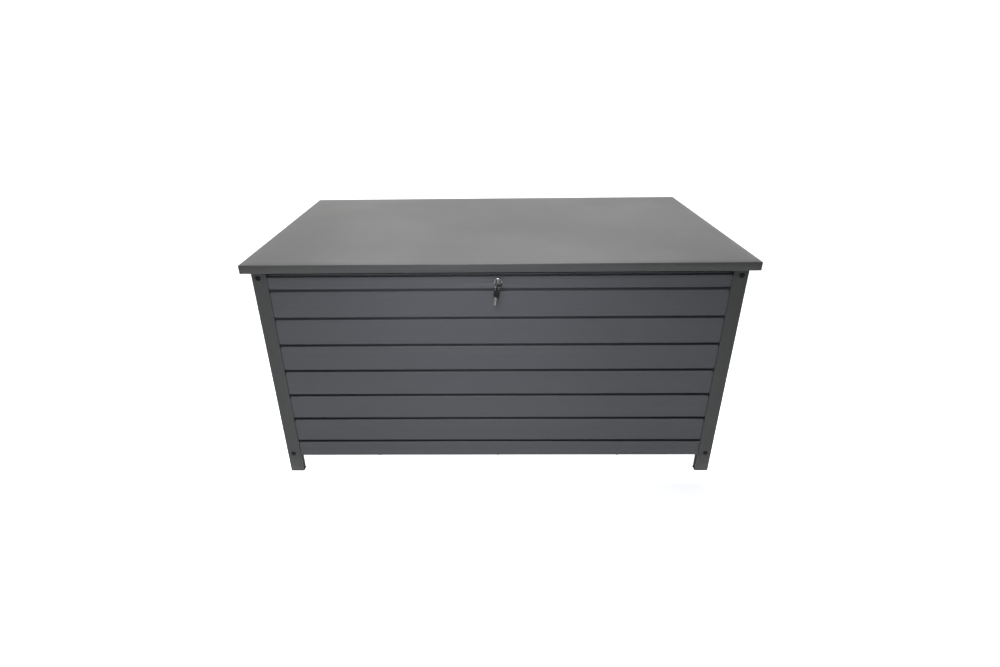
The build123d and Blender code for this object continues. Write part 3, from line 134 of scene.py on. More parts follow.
paper_nodes.links.new(paper_place.outputs["Object"], paper_axes["Y"].inputs["Vector"])


def joined(operation, values):
    """The product or the sum of the paper's varying values."""
    total = values[0]
    for value in values[1:]:
        both = paper_nodes.nodes.new("ShaderNodeMath")
        both.operation = operation
        paper_nodes.links.new(total, both.inputs[0])
        paper_nodes.links.new(value, both.inputs[1])
        total = both.outputs["Value"]
    return total


painted_zone_glows = []
for zone in painted_glow_zones:
    changes = []
    for axis, start, end, weak, strong in zone:
        ramp = paper_nodes.nodes.new("ShaderNodeMapRange")
        ramp.interpolation_type = "SMOOTHSTEP"
        ramp.inputs["From Min"].default_value = start
        ramp.inputs["From Max"].default_value = end
        ramp.inputs["To Min"].default_value = weak
        ramp.inputs["To Max"].default_value = strong
        paper_nodes.links.new(paper_axes[axis].outputs[axis], ramp.inputs["Value"])
        changes.append(ramp.outputs["Result"])
    painted_zone_glows.append(joined("MULTIPLY", changes))
paper_nodes.links.new(joined("ADD", painted_zone_glows), paper_shader.inputs["Emission Strength"])
studio_sweep.data.materials.append(paper)

# A dark card stands out of view on the right, which lets the box's right end fall off.
card_place = (0.88, -1.55, 0.4)
card_length = 1.3
card_height = 0.8
card = bmesh.new()
card_corners = [(card_place[0], card_place[1] + along * card_length / 2,
                 card_place[2] + upwards * card_height / 2)
                for along, upwards in ((-1, -1), (1, -1), (1, 1), (-1, 1))]
card.faces.new([card.verts.new(corner) for corner in card_corners])
card_mesh = bpy.data.meshes.new("dark_card")
card.to_mesh(card_mesh)
card.free()
dark_card = new_object("dark_card", card_mesh)
black_felt = bpy.data.materials.new("black_felt")
black_felt.use_nodes = True
felt_shader = black_felt.node_tree.nodes["Principled BSDF"]
felt_shader.inputs["Base Color"].default_value = (0.01, 0.01, 0.01, 1)
felt_shader.inputs["Roughness"].default_value = 1.0
dark_card.data.materials.append(black_felt)

# Each lamp: its name, its place, what it points at, its width and height, power, beam and tint.
daylight = (1.0, 1.0, 1.0)
warm = (1.0, 0.99, 0.965)
cool = (0.93, 0.96, 1.0)
lamps = (
    ("overhead_softbox", (-0.2, 0.1, 3.2), (-0.1, 0.1, 0.0), (3.8, 3.0), 114, pi, daylight),
    ("sheen_softbox", (0.0, 2.2, 2.6), (0.0, 0.0, 0.6), (2.4, 0.6), 27, pi, daylight),
    ("left_backdrop_softbox", (-1.9, 1.2, 2.4), (-2.6, 3.2, 1.5), (1.8, 0.6), 48, pi, warm),
    ("right_backdrop_softbox", (1.9, 1.2, 2.4), (2.6, 3.2, 1.5), (1.8, 0.6), 48, pi, daylight),
    ("front_softbox", (-0.09, -0.9, 1.25), (-0.09, -0.29, 0.3), (0.3, 0.2), 12, pi, cool),
    ("low_front_softbox", (-0.12, -1.6, 0.95), (-0.07, -0.29, 0.4), (0.5, 0.3), 1.1, pi / 3, cool),
)
for name, place, target, (width, height), power, beam, tint in lamps:
    lamp = bpy.data.lights.new(name, "AREA")
    lamp.shape = "RECTANGLE"
    lamp.size = width
    lamp.size_y = height
    lamp.energy = power
    lamp.color = tint
    lamp.spread = beam
    stand = bpy.data.objects.new(name, lamp)
    aim = (Vector(target) - Vector(place)).to_track_quat("-Z", "Y")
    stand.matrix_world = Matrix.Translation(place) @ aim.to_matrix().to_4x4()
    bpy.context.scene.collection.objects.link(stand)

surround = bpy.data.worlds.new("studio_surround")
surround.use_nodes = True
surround_light = surround.node_tree.nodes["Background"]
surround_light.inputs["Color"].default_value = (1.0, 1.0, 1.0, 1)
surround_light.inputs["Strength"].default_value = 0.06
bpy.context.scene.world = surround
bpy.context.scene.view_settings.view_transform = "Standard"


# ------------------------------------------------------------------ corner posts
# Four L-shaped aluminium extrusions in satin grey powder coat.  The side rails
# are bolted to them, and the boards slide into their channels.
def principled(name):
    """A new material with its node tree and its shader."""
    material = bpy.data.materials.new(name)
    material.use_nodes = True
    return material, material.node_tree, material.node_tree.nodes["Principled BSDF"]


evenly_fine = (1, 1, 1)
noise_low = 0.3
noise_high = 0.7


def noise_on(tree, fineness, scale, detail, seed=0.0):
    """Noise on the piece's own coordinates, made finer by a factor for each axis.

    The scale is about its waves per metre, and each seed gives another pattern.
    """
    place = tree.nodes.new("ShaderNodeTexCoord")
    mapping = tree.nodes.new("ShaderNodeMapping")
    mapping.inputs["Scale"].default_value = fineness
    # An uneven step in three directions leads to a part of the noise that isn't used yet.
    mapping.inputs["Location"].default_value = (seed, seed * 1.7, seed * 0.6)
    noise = tree.nodes.new("ShaderNodeTexNoise")
    noise.inputs["Scale"].default_value = scale
    noise.inputs["Detail"].default_value = detail
    tree.links.new(place.outputs["Object"], mapping.inputs["Vector"])
    tree.links.new(mapping.outputs["Vector"], noise.inputs["Vector"])
    return noise.outputs["Fac"]


def spread(tree, value, low, high):
    """Maps a noise's middle range, where most of it lies, onto a range of values."""
    ranged = tree.nodes.new("ShaderNodeMapRange")
    ranged.inputs["From Min"].default_value = noise_low
    ranged.inputs["From Max"].default_value = noise_high
    ranged.inputs["To Min"].default_value = low
    ranged.inputs["To Max"].default_value = high
    tree.links.new(value, ranged.inputs["Value"])
    return ranged.outputs["Result"]


def tinted(tree, colour, shade):
    """A colour multiplied by a shade that varies."""
    mix = tree.nodes.new("ShaderNodeVectorMath")
    mix.operation = "SCALE"
    mix.inputs[0].default_value = colour
    tree.links.new(shade, mix.inputs["Scale"])
    return mix.outputs["Vector"]


def product(tree, first, second):
    """Two varying values multiplied."""
    times = tree.nodes.new("ShaderNodeMath")
    times.operation = "MULTIPLY"
    tree.links.new(first, times.inputs[0])
    tree.links.new(second, times.inputs[1])
    return times.outputs["Value"]


def bumped(tree, shader, *layers):
    """Chains bumps, each a (height, depth in metres), into the shader's normal."""
    normal = None
    for height, depth in layers:
        bump = tree.nodes.new("ShaderNodeBump")
        bump.inputs["Distance"].default_value = depth
        bump.inputs["Strength"].default_value = 1.0
        tree.links.new(height, bump.inputs["Height"])
        if normal:
            tree.links.new(normal, bump.inputs["Normal"])
        normal = bump.outputs["Normal"]
    tree.links.new(normal, shader.inputs["Normal"])


die_line_depth = 0.00006
orange_peel_depth = 0.00002
fineness_along_die = 0.4
fineness_across_die = 60
fineness_on_sheet = 3


def powder_coat(name, colour, drawn_along, row_height=0.0):
    """Satin powder coat on an extrusion or sheet: faint die lines and orange peel.

    A sheet isn't drawn along any axis, so it has soft clouds in place of die lines.
    """
    material, tree, shader = principled(name)
    fineness = [fineness_across_die if drawn_along else fineness_on_sheet] * 3
    if drawn_along:
        fineness["xyz".index(drawn_along)] = fineness_along_die
    streaks = noise_on(tree, fineness, scale=6, detail=4)
    clouds = noise_on(tree, evenly_fine, scale=3.2, detail=3, seed=4)
    shade = product(tree, spread(tree, streaks, 0.955, 1.045), spread(tree, clouds, 0.965, 1.035))
    if row_height:
        # Boards come from different batches, so each row has its own slight shade.
        place = tree.nodes.new("ShaderNodeTexCoord")
        split = tree.nodes.new("ShaderNodeSeparateXYZ")
        row = tree.nodes.new("ShaderNodeMath")
        row.operation = "DIVIDE"
        row.inputs[1].default_value = row_height
        whole = tree.nodes.new("ShaderNodeMath")
        whole.operation = "FLOOR"
        batch = tree.nodes.new("ShaderNodeTexWhiteNoise")
        batch.noise_dimensions = "1D"
        tree.links.new(place.outputs["Object"], split.inputs["Vector"])
        tree.links.new(split.outputs["Z"], row.inputs[0])
        tree.links.new(row.outputs["Value"], whole.inputs[0])
        tree.links.new(whole.outputs["Value"], batch.inputs["W"])
        shade = product(tree, shade, spread(tree, batch.outputs["Value"], 0.985, 1.015))
    tree.links.new(tinted(tree, colour, shade), shader.inputs["Base Color"])
    tree.links.new(spread(tree, clouds, 0.42, 0.50), shader.inputs["Roughness"])
    shader.inputs["Specular IOR Level"].default_value = 0.38
    peel = noise_on(tree, evenly_fine, scale=900, detail=2, seed=9)
    bumped(tree, shader, (streaks, die_line_depth), (peel, orange_peel_depth))
    return material


same_point = 0.00001
flat_angle = radians(2)
sharp_angle = radians(40)


def softened(node, name, width, segments=2):
    """A copy of a CAD node with its triangles merged and its edges slightly rounded."""
    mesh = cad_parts[node].data.copy()
    work = bmesh.new()
    work.from_mesh(mesh)
    bmesh.ops.remove_doubles(work, verts=work.verts, dist=same_point)
    bmesh.ops.dissolve_limit(work, angle_limit=flat_angle, verts=work.verts, edges=work.edges)
    work.to_mesh(mesh)
    work.free()
    mesh.materials.clear()
    piece = new_object(name, mesh)
    bevel = piece.modifiers.new("edge", "BEVEL")
    bevel.width = width
    bevel.segments = segments
    bevel.limit_method = "ANGLE"
    bevel.angle_limit = sharp_angle
    bevel.harden_normals = True
    return made_plain(piece)


def made_plain(piece):
    """Turns what the modifiers make into the piece's own mesh."""
    seen = piece.evaluated_get(bpy.context.evaluated_depsgraph_get())
    mesh = bpy.data.meshes.new_from_object(seen)
    piece.modifiers.clear()
    piece.data = mesh
    return piece


def finish(piece, body, slot_name, material, *nodes):
    """Gives a piece its material and its body, and hides the CAD nodes that it stands for; slot_name is not
    used.
    """
    if material:
        piece.data.materials.clear()
        piece.data.materials.append(material)
    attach(piece, body)
    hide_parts(*nodes)
    return piece


# The posts have the boards' powder coat, but their grey is set darker: the difference is painted shade.
post_grey_painted_darker = (0.0285, 0.0292, 0.0289)
post_edge = 0.0006
post_coat = powder_coat("post_powder_coat_painted_darker", post_grey_painted_darker, "z")
for corner in ("front_left", "front_right", "back_left", "back_right"):
    post = softened(f"{corner}_post", f"{corner}_post_coated", post_edge)
    finish(post, "box", "frame_coat", post_coat, f"{corner}_post")


# ------------------------------------------------------------------ rails
# Bottom and top rails of the same coated aluminium.  They close the stack of
# boards below and above, and run into the posts.
board_grey = (0.0405, 0.0411, 0.0460)
board_row = 0.075
rail_edge = 0.0004
board_coat = powder_coat("board_powder_coat", board_grey, "x", row_height=board_row)
side_coat = powder_coat("side_board_powder_coat", board_grey, "y", row_height=board_row)
for wall, coat in (("front", board_coat), ("back", board_coat), ("left", side_coat), ("right", side_coat)):
    for level_name in ("bottom", "top"):
        node = f"{wall}_{level_name}_rail"
        finish(softened(node, f"{node}_coated", rail_edge), "box", "board_coat", coat, node)


# ------------------------------------------------------------------ boards
# Shiplap extrusions, six to a wall.  Each tongue stands up behind the lip of the
# board above, which leaves a shadow groove at every joint.  The face's corners
# are sawn off where they go into the posts.
board_depth = 0.012
board_wall = 0.0013
board_face = 0.0675
board_top = 0.081
groove_depth = 0.0065
groove_floor = board_face - 0.004
lip_depth = 0.0061
lip_height = 0.0063
board_corner = 0.0006
board_corner_steps = 3
board_rows = 6
notch_depth = 0.008
notch_reach = 0.004

section_points = [
    (0, 0), (lip_depth, 0), (lip_depth, lip_height), (board_depth, lip_height),
    (board_depth, board_top), (groove_depth, board_top), (groove_depth, groove_floor),
    (board_wall, groove_floor), (board_wall, board_face), (0, board_face),
]
section_curve = bpy.data.curves.new("board_section", "CURVE")
section_curve.dimensions = "2D"
spline = section_curve.splines.new("POLY")
spline.points.add(len(section_points) - 1)
for point, (inwards, upwards) in zip(spline.points, section_points):
    point.co = (inwards, upwards, 0, 1)
spline.use_cyclic_u = True
board_section = new_object("board_section", section_curve)

wall_tree = bpy.data.node_groups.new("board_wall", "GeometryNodeTree")
wall_tree.interface.new_socket("Geometry", in_out="OUTPUT", socket_type="NodeSocketGeometry")
wall_inputs = {}
for label, kind in (("Section", "NodeSocketObject"), ("Corner", "NodeSocketFloat"),
                    ("Length", "NodeSocketFloat"), ("Rows", "NodeSocketInt"),
                    ("Pitch", "NodeSocketFloat"), ("Coat", "NodeSocketMaterial")):
    socket = wall_tree.interface.new_socket(label, in_out="INPUT", socket_type=kind)
    wall_inputs[label] = socket.identifier

given = wall_tree.nodes.new("NodeGroupInput")
drawn = wall_tree.nodes.new("GeometryNodeObjectInfo")
rounded = wall_tree.nodes.new("GeometryNodeFilletCurve")
rounded.mode = "POLY"
rounded.inputs["Count"].default_value = board_corner_steps
filled = wall_tree.nodes.new("GeometryNodeFillCurve")
filled.mode = "NGONS"
pulled = wall_tree.nodes.new("GeometryNodeExtrudeMesh")
pulled.mode = "FACES"
pulled.inputs["Individual"].default_value = False
near_end = wall_tree.nodes.new("GeometryNodeFlipFaces")
both_ends = wall_tree.nodes.new("GeometryNodeJoinGeometry")
closed = wall_tree.nodes.new("GeometryNodeMergeByDistance")
closed.inputs["Distance"].default_value = same_point
half_length = wall_tree.nodes.new("ShaderNodeMath")
half_length.operation = "MULTIPLY"
half_length.inputs[1].default_value = -0.5
middle = wall_tree.nodes.new("ShaderNodeCombineXYZ")
laid = wall_tree.nodes.new("GeometryNodeTransform")
laid.inputs["Rotation"].default_value = (pi / 2, 0, pi / 2)
step_up = wall_tree.nodes.new("ShaderNodeCombineXYZ")
levels = wall_tree.nodes.new("GeometryNodeMeshLine")
stacked = wall_tree.nodes.new("GeometryNodeInstanceOnPoints")
real = wall_tree.nodes.new("GeometryNodeRealizeInstances")
coated = wall_tree.nodes.new("GeometryNodeSetMaterial")
result = wall_tree.nodes.new("NodeGroupOutput")

link = wall_tree.links.new
link(given.outputs["Section"], drawn.inputs["Object"])
link(drawn.outputs["Geometry"], rounded.inputs["Curve"])
link(given.outputs["Corner"], rounded.inputs["Radius"])
link(rounded.outputs["Curve"], filled.inputs["Curve"])
link(filled.outputs["Mesh"], pulled.inputs["Mesh"])
link(filled.outputs["Mesh"], near_end.inputs["Mesh"])
link(given.outputs["Length"], pulled.inputs["Offset Scale"])
link(near_end.outputs["Mesh"], both_ends.inputs["Geometry"])
link(pulled.outputs["Mesh"], both_ends.inputs["Geometry"])
link(both_ends.outputs["Geometry"], closed.inputs["Geometry"])
link(closed.outputs["Geometry"], laid.inputs["Geometry"])
link(given.outputs["Length"], half_length.inputs[0])
link(half_length.outputs["Value"], middle.inputs["X"])
link(middle.outputs["Vector"], laid.inputs["Translation"])
link(given.outputs["Pitch"], step_up.inputs["Z"])
link(given.outputs["Rows"], levels.inputs["Count"])
link(step_up.outputs["Vector"], levels.inputs["Offset"])
link(levels.outputs["Mesh"], stacked.inputs["Points"])
link(laid.outputs["Geometry"], stacked.inputs["Instance"])
link(stacked.outputs["Instances"], real.inputs["Geometry"])
link(real.outputs["Geometry"], coated.inputs["Geometry"])
link(given.outputs["Coat"], coated.inputs["Material"])
link(coated.outputs["Geometry"], result.inputs["Geometry"])


def grown(name, tree, identifiers, **inputs):
    """The plain mesh that a node tree makes with these inputs."""
    piece = new_object(name, bpy.data.meshes.new(name))
    modifier = piece.modifiers.new("made", "NODES")
    modifier.node_group = tree
    for label, value in inputs.items():
        modifier[identifiers[label]] = value
    return made_plain(piece)


saw_margin = 0.001
saw_stop = groove_depth - 0.0001


def corners_cut(wall_boards, length, hidden, pitch, coat):
    """Saws off both upper corners of each board's face, a little past the posts' edges."""
    edge = length / 2 - hidden
    slope = notch_reach / notch_depth
    outline_points = [
        (length / 2 + saw_margin, board_face - notch_depth),
        (edge, board_face - notch_depth),
        (edge - slope * (notch_depth + saw_margin), board_face + saw_margin),
        (length / 2 + saw_margin, board_face + saw_margin),
    ]
    saw_work = bmesh.new()
    for row in range(board_rows):
        for end in (-1, 1):
            near, far = [[saw_work.verts.new((end * x, y, row * pitch + z)) for x, z in outline_points]
                         for y in (-saw_margin, saw_stop)]
            saw_work.faces.new(near)
            saw_work.faces.new(far)
            for index in range(len(near)):
                saw_work.faces.new((near[index - 1], near[index], far[index], far[index - 1]))
    bmesh.ops.recalc_face_normals(saw_work, faces=saw_work.faces)
    saw_mesh = bpy.data.meshes.new("saw")
    saw_work.to_mesh(saw_mesh)
    saw_work.free()
    saw_mesh.materials.append(coat)
    saw = new_object("saw", saw_mesh)
    cut = wall_boards.modifiers.new("sawn_corners", "BOOLEAN")
    cut.object = saw
    cut.operation = "DIFFERENCE"
    made_plain(wall_boards)
    bpy.data.objects.remove(saw)


board_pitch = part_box("front_board_2")[0].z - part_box("front_board_1")[0].z
post_inner_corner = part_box("front_left_post")[1]
boards = {"front": [f"front_board_{row + 1}" for row in range(board_rows)],
          "back": ["back_boards"], "left": ["left_boards"], "right": ["right_boards"]}
for wall, nodes in boards.items():
    low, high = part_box(nodes[0])
    if wall in ("front", "back"):
        length, coat = high.x - low.x, board_coat
        hidden = post_inner_corner.x - low.x
        skin = low.y if wall == "front" else high.y
        place = Matrix.Translation(((low.x + high.x) / 2, skin, low.z))
        facing = 0 if wall == "front" else pi
    else:
        length, coat = high.y - low.y, side_coat
        hidden = post_inner_corner.y - low.y
        skin = low.x if wall == "left" else high.x
        place = Matrix.Translation((skin, (low.y + high.y) / 2, low.z))
        facing = -pi / 2 if wall == "left" else pi / 2
    wall_boards = grown(f"{wall}_wall_boards", wall_tree, wall_inputs, Section=board_section,
                        Corner=board_corner, Length=length, Rows=board_rows, Pitch=board_pitch, Coat=coat)
    corners_cut(wall_boards, length, hidden, board_pitch, coat)
    wall_boards.data.transform(place @ Matrix.Rotation(facing, 4, "Z"))
    finish(wall_boards, "box", "board_coat", None, *nodes)
bpy.data.objects.remove(board_section)


# ------------------------------------------------------------------ lid
# One folded aluminium tray in satin grey powder coat.  Its edge is bent down
# and hemmed inwards, its corners are welded, and its wide top is not perfectly
# flat.
lid_low, lid_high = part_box("lid_skin")
# The lid has the boards' powder coat, set darker as painted shade against the front lamp's strong light on
# its edge.
lid_grey_painted_darker = (0.0325, 0.0325, 0.0324)
bend_radius = 0.0013
bend_steps = 4
sheet = 0.0012
hem = 0.012
hem_bend = 0.0004
welded_edge = 0.0008
welded_angle = radians(50)
lid_columns = 60
lid_rows = 30
# The sheet's waves only sink below its true face, and fade out over a sixth of
# the lid towards its edge.
ripple = 0.00022
ripple_crest = 1.5
ripple_fade = 1 / 6

rings = []
for step in range(bend_steps + 1):
    angle = pi / 2 * step / bend_steps
    rings.append((bend_radius * (1 - sin(angle)), -bend_radius * (1 - cos(angle))))
edge_height = lid_high.z - lid_low.z
rings += [(0, -edge_height + hem_bend), (hem_bend, -edge_height), (hem, -edge_height),
          (hem, -edge_height + sheet), (sheet, -edge_height + sheet), (sheet, -sheet)]

tray = bmesh.new()


def lid_ring(inset, drop):
    """One turn round the lid, at an inset from its edge and a drop from its top."""
    turn_points = []
    x0, x1 = lid_low.x + inset, lid_high.x - inset
    y0, y1 = lid_low.y + inset, lid_high.y - inset
    for index in range(lid_columns):
        turn_points.append((x0 + (x1 - x0) * index / lid_columns, y0))
    for index in range(lid_rows):
        turn_points.append((x1, y0 + (y1 - y0) * index / lid_rows))
    for index in range(lid_columns):
        turn_points.append((x1 - (x1 - x0) * index / lid_columns, y1))
    for index in range(lid_rows):
        turn_points.append((x0, y1 - (y1 - y0) * index / lid_rows))
    return [tray.verts.new((x, y, lid_high.z + drop)) for x, y in turn_points]


def lid_wave(across, along):
    """How the sheet waves at a share of the lid's length and depth, no higher than its crest."""
    swell = sin(7.3 * across + 1.1) * sin(4.1 * along + 0.6)
    return swell + 0.5 * sin(17 * across + 3 * along)


def lid_plate(inset, drop, edge_ring, upwards):
    """A wide face of the lid as a grid, slightly rippled, joined to a ring."""
    x0, x1 = lid_low.x + inset, lid_high.x - inset
    y0, y1 = lid_low.y + inset, lid_high.y - inset
    total = len(edge_ring)
    grid = {}
    for column in range(lid_columns + 1):
        for row in range(lid_rows + 1):
            if row == 0:
                grid[column, row] = edge_ring[column]
            elif column == lid_columns:
                grid[column, row] = edge_ring[lid_columns + row]
            elif row == lid_rows:
                grid[column, row] = edge_ring[lid_columns + lid_rows + lid_columns - column]
            elif column == 0:
                grid[column, row] = edge_ring[(total - row) % total]
            else:
                across, along = column / lid_columns, row / lid_rows
                fade = min(1, min(across, along, 1 - across, 1 - along) / ripple_fade)
                sunk = ripple * fade * (ripple_crest - lid_wave(across, along))
                grid[column, row] = tray.verts.new(
                    (x0 + (x1 - x0) * across, y0 + (y1 - y0) * along, lid_high.z + drop - sunk))
    for column in range(lid_columns):
        for row in range(lid_rows):
            corners = [grid[column, row], grid[column + 1, row],
                       grid[column + 1, row + 1], grid[column, row + 1]]
            tray.faces.new(corners if upwards else corners[::-1])


turns = [lid_ring(inset, drop) for inset, drop in rings]
for outer, inner in zip(turns, turns[1:]):
    for index in range(len(outer)):
        following = (index + 1) % len(outer)
        tray.faces.new((outer[index], inner[index], inner[following], outer[following]))
lid_plate(bend_radius, 0, turns[0], upwards=True)
lid_plate(sheet, -sheet, turns[-1], upwards=False)
bmesh.ops.recalc_face_normals(tray, faces=tray.faces)
for face in tray.faces:
    face.smooth = True
tray_mesh = bpy.data.meshes.new("lid_tray")
tray.to_mesh(tray_mesh)
tray.free()
lid_tray = new_object("lid_tray", tray_mesh)
corner_round = lid_tray.modifiers.new("welded_corners", "BEVEL")
corner_round.width = welded_edge
corner_round.segments = 2
corner_round.limit_method = "ANGLE"
corner_round.angle_limit = welded_angle
corner_round.harden_normals = True
made_plain(lid_tray)
lid_coat = powder_coat("lid_powder_coat_painted_darker", lid_grey_painted_darker, "")
finish(lid_tray, "lid", "lid_coat", lid_coat, "lid_skin")


# ------------------------------------------------------------------ feet and caps
# Black moulded nylon.  The feet are pushed up into the posts, flat caps close
# the posts' tops, and small round caps hide the frame bolts.
def moulded_plastic(name, colour, roughness, specular, grain_depth):
    """Moulded plastic: an even colour, a fine spark-eroded grain and uneven gloss."""
    material, tree, shader = principled(name)
    clouds = noise_on(tree, evenly_fine, scale=40, detail=3, seed=2)
    grain = noise_on(tree, evenly_fine, scale=1800, detail=2, seed=5)
    tree.links.new(tinted(tree, colour, spread(tree, clouds, 0.9, 1.1)), shader.inputs["Base Color"])
    tree.links.new(spread(tree, clouds, roughness - 0.06, roughness + 0.06), shader.inputs["Roughness"])
    shader.inputs["Specular IOR Level"].default_value = specular
    bumped(tree, shader, (grain, grain_depth))
    return material


nylon_black = (0.005, 0.005, 0.0055)
moulded_edge = 0.0004
black_nylon = moulded_plastic("black_nylon", nylon_black, roughness=0.75, specular=0.2, grain_depth=0.00003)
for node in ("feet", "post_top_caps"):
    finish(softened(node, f"{node}_moulded", moulded_edge), "box", "black_plastic", black_nylon, node)


def solid_boxes(node):
    """Lowest and highest corner of each separate solid in a CAD node."""
    work = bmesh.new()
    work.from_mesh(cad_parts[node].data)
    bmesh.ops.remove_doubles(work, verts=work.verts, dist=same_point)
    waiting = set(work.verts)
    boxes = []
    while waiting:
        reached = [waiting.pop()]
        corners = []
        while reached:
            vert = reached.pop()
            corners.append(vert.co.copy())
            for edge in vert.link_edges:
                other = edge.other_vert(vert)
                if other in waiting:
                    waiting.remove(other)
                    reached.append(other)
        boxes.append((Vector(min(c[axis] for c in corners) for axis in range(3)),
                      Vector(max(c[axis] for c in corners) for axis in range(3))))
    work.free()
    return boxes


def lathed(name, profile, sides=28):
    """A solid of revolution about Z from (radius, height) points, its ends on the axis."""
    work = bmesh.new()
    rings_made = []
    for radius, height in profile:
        if radius == 0:
            rings_made.append([work.verts.new((0, 0, height))])
        else:
            rings_made.append([work.verts.new((radius * cos(2 * pi * k / sides),
                                               radius * sin(2 * pi * k / sides), height))
                               for k in range(sides)])
    for lower, upper in zip(rings_made, rings_made[1:]):
        for k in range(sides):
            after = (k + 1) % sides
            corners = [lower[k % len(lower)], lower[after % len(lower)],
                       upper[after % len(upper)], upper[k % len(upper)]]
            # On the axis a ring is a single point, and the face is a triangle.
            work.faces.new(list(dict.fromkeys(corners)))
    bmesh.ops.recalc_face_normals(work, faces=work.faces)
    for face in work.faces:
        face.smooth = True
    mesh = bpy.data.meshes.new(name)
    work.to_mesh(mesh)
    work.free()
    return new_object(name, mesh)


# One tree sets a small part, such as a cap or a screw, at each point it is given,
# turned to face the way that the point's "facing" attribute says.
dotted_tree = bpy.data.node_groups.new("small_parts_at_points", "GeometryNodeTree")
dotted_tree.interface.new_socket("Geometry", in_out="OUTPUT", socket_type="NodeSocketGeometry")
dotted_inputs = {}
for label, kind in (("Places", "NodeSocketObject"), ("Small Part", "NodeSocketObject"),
                    ("Finish", "NodeSocketMaterial")):
    socket = dotted_tree.interface.new_socket(label, in_out="INPUT", socket_type=kind)
    dotted_inputs[label] = socket.identifier
given = dotted_tree.nodes.new("NodeGroupInput")
places = dotted_tree.nodes.new("GeometryNodeObjectInfo")
small = dotted_tree.nodes.new("GeometryNodeObjectInfo")
facing_way = dotted_tree.nodes.new("GeometryNodeInputNamedAttribute")
facing_way.data_type = "FLOAT_VECTOR"
facing_way.inputs["Name"].default_value = "facing"
turned = dotted_tree.nodes.new("FunctionNodeAlignRotationToVector")
turned.axis = "Z"
scattered = dotted_tree.nodes.new("GeometryNodeInstanceOnPoints")
real = dotted_tree.nodes.new("GeometryNodeRealizeInstances")
coated = dotted_tree.nodes.new("GeometryNodeSetMaterial")
result = dotted_tree.nodes.new("NodeGroupOutput")
link = dotted_tree.links.new
link(given.outputs["Places"], places.inputs["Object"])
link(given.outputs["Small Part"], small.inputs["Object"])
link(facing_way.outputs["Attribute"], turned.inputs["Vector"])
link(places.outputs["Geometry"], scattered.inputs["Points"])
link(small.outputs["Geometry"], scattered.inputs["Instance"])
link(turned.outputs["Rotation"], scattered.inputs["Rotation"])
link(scattered.outputs["Instances"], real.inputs["Geometry"])
link(real.outputs["Geometry"], coated.inputs["Geometry"])
link(given.outputs["Finish"], coated.inputs["Material"])
link(coated.outputs["Geometry"], result.inputs["Geometry"])


def set_at(name, small_part, material, points):
    """A small part set at each (place, facing), as one plain mesh."""
    markers = bpy.data.meshes.new(f"{name}_places")
    markers.from_pydata([place for place, facing in points], [], [])
    attribute = markers.attributes.new("facing", "FLOAT_VECTOR", "POINT")
    for item, (place, facing) in zip(attribute.data, points):
        item.vector = facing
    marker_object = new_object(f"{name}_places", markers)
    piece = grown(name, dotted_tree, dotted_inputs,
                  **{"Places": marker_object, "Small Part": small_part, "Finish": material})
    bpy.data.objects.remove(marker_object)
    return piece


cap_radius = 0.0063
cap_height = 0.0012
cap_stem_radius = 0.0058
cap_stem = 0.0024
# The cap from the middle of its face outwards: a shallow dish, a flat rim, a rounded edge and the stem.
bolt_cap = lathed("bolt_cap", [
    (0, cap_height * 0.8), (cap_radius * 0.35, cap_height * 0.84), (cap_radius * 0.5, cap_height),
    (cap_radius * 0.82, cap_height), (cap_radius * 0.95, cap_height * 0.72), (cap_radius, cap_height * 0.3),
    (cap_radius, 0), (cap_stem_radius, 0), (cap_stem_radius, -cap_stem), (0, -cap_stem)])
cap_points = []
for low, high in solid_boxes("bolt_caps"):
    centre = (low + high) / 2
    outwards = -1 if centre.y < 0 else 1
    face_y = low.y + cap_height if outwards < 0 else high.y - cap_height
    cap_points.append((Vector((centre.x, face_y, centre.z)), Vector((0, outwards, 0))))
caps = set_at("bolt_caps_moulded", bolt_cap, black_nylon, cap_points)
finish(caps, "box", "black_plastic", None, "bolt_caps")
bpy.data.objects.remove(bolt_cap)


# ------------------------------------------------------------------ weather seal
# Black foam rubber strips, stuck on the rails' tops, with a rounded crown that
# the shut lid rests on.
rubber_black = (0.008, 0.008, 0.009)
pore_depth = 0.0001
seal_crown = 0.002
seal_rubber, seal_nodes, seal_shader = principled("seal_rubber")
pores = noise_on(seal_nodes, evenly_fine, scale=700, detail=4, seed=1)
seal_nodes.links.new(tinted(seal_nodes, rubber_black, spread(seal_nodes, pores, 0.8, 1.25)),
                     seal_shader.inputs["Base Color"])
seal_shader.inputs["Roughness"].default_value = 0.85
bumped(seal_nodes, seal_shader, (pores, pore_depth))
finish(softened("weather_seal", "weather_seal_strips", seal_crown, segments=4),
       "box", "seal_rubber", seal_rubber, "weather_seal")


# ------------------------------------------------------------------ screws
# Zinc-plated pan-head screws with a cross recess.  They hold the bearers, the
# brackets, the long bottom rails, the strut bars, the hinges and what hangs
# under the lid.
scratch_depth = 0.00001


def plated_steel(name, colour, roughness):
    """Plated steel: cloudy plating and faint handling scratches."""
    material, tree, shader = principled(name)
    clouds = noise_on(tree, evenly_fine, scale=90, detail=4, seed=3)
    scratches = noise_on(tree, (30, 400, 30), scale=4, detail=3, seed=7)
    tree.links.new(tinted(tree, colour, spread(tree, clouds, 0.88, 1.08)), shader.inputs["Base Color"])
    tree.links.new(spread(tree, scratches, roughness - 0.05, roughness + 0.08), shader.inputs["Roughness"])
    shader.inputs["Metallic"].default_value = 1.0
    bumped(tree, shader, (scratches, scratch_depth))
    return material


# The cross recess, as shares of the head: an arm's length and width, and the depth of both.
recess_length = 1.1
recess_width = 0.24
recess_depth = 0.45


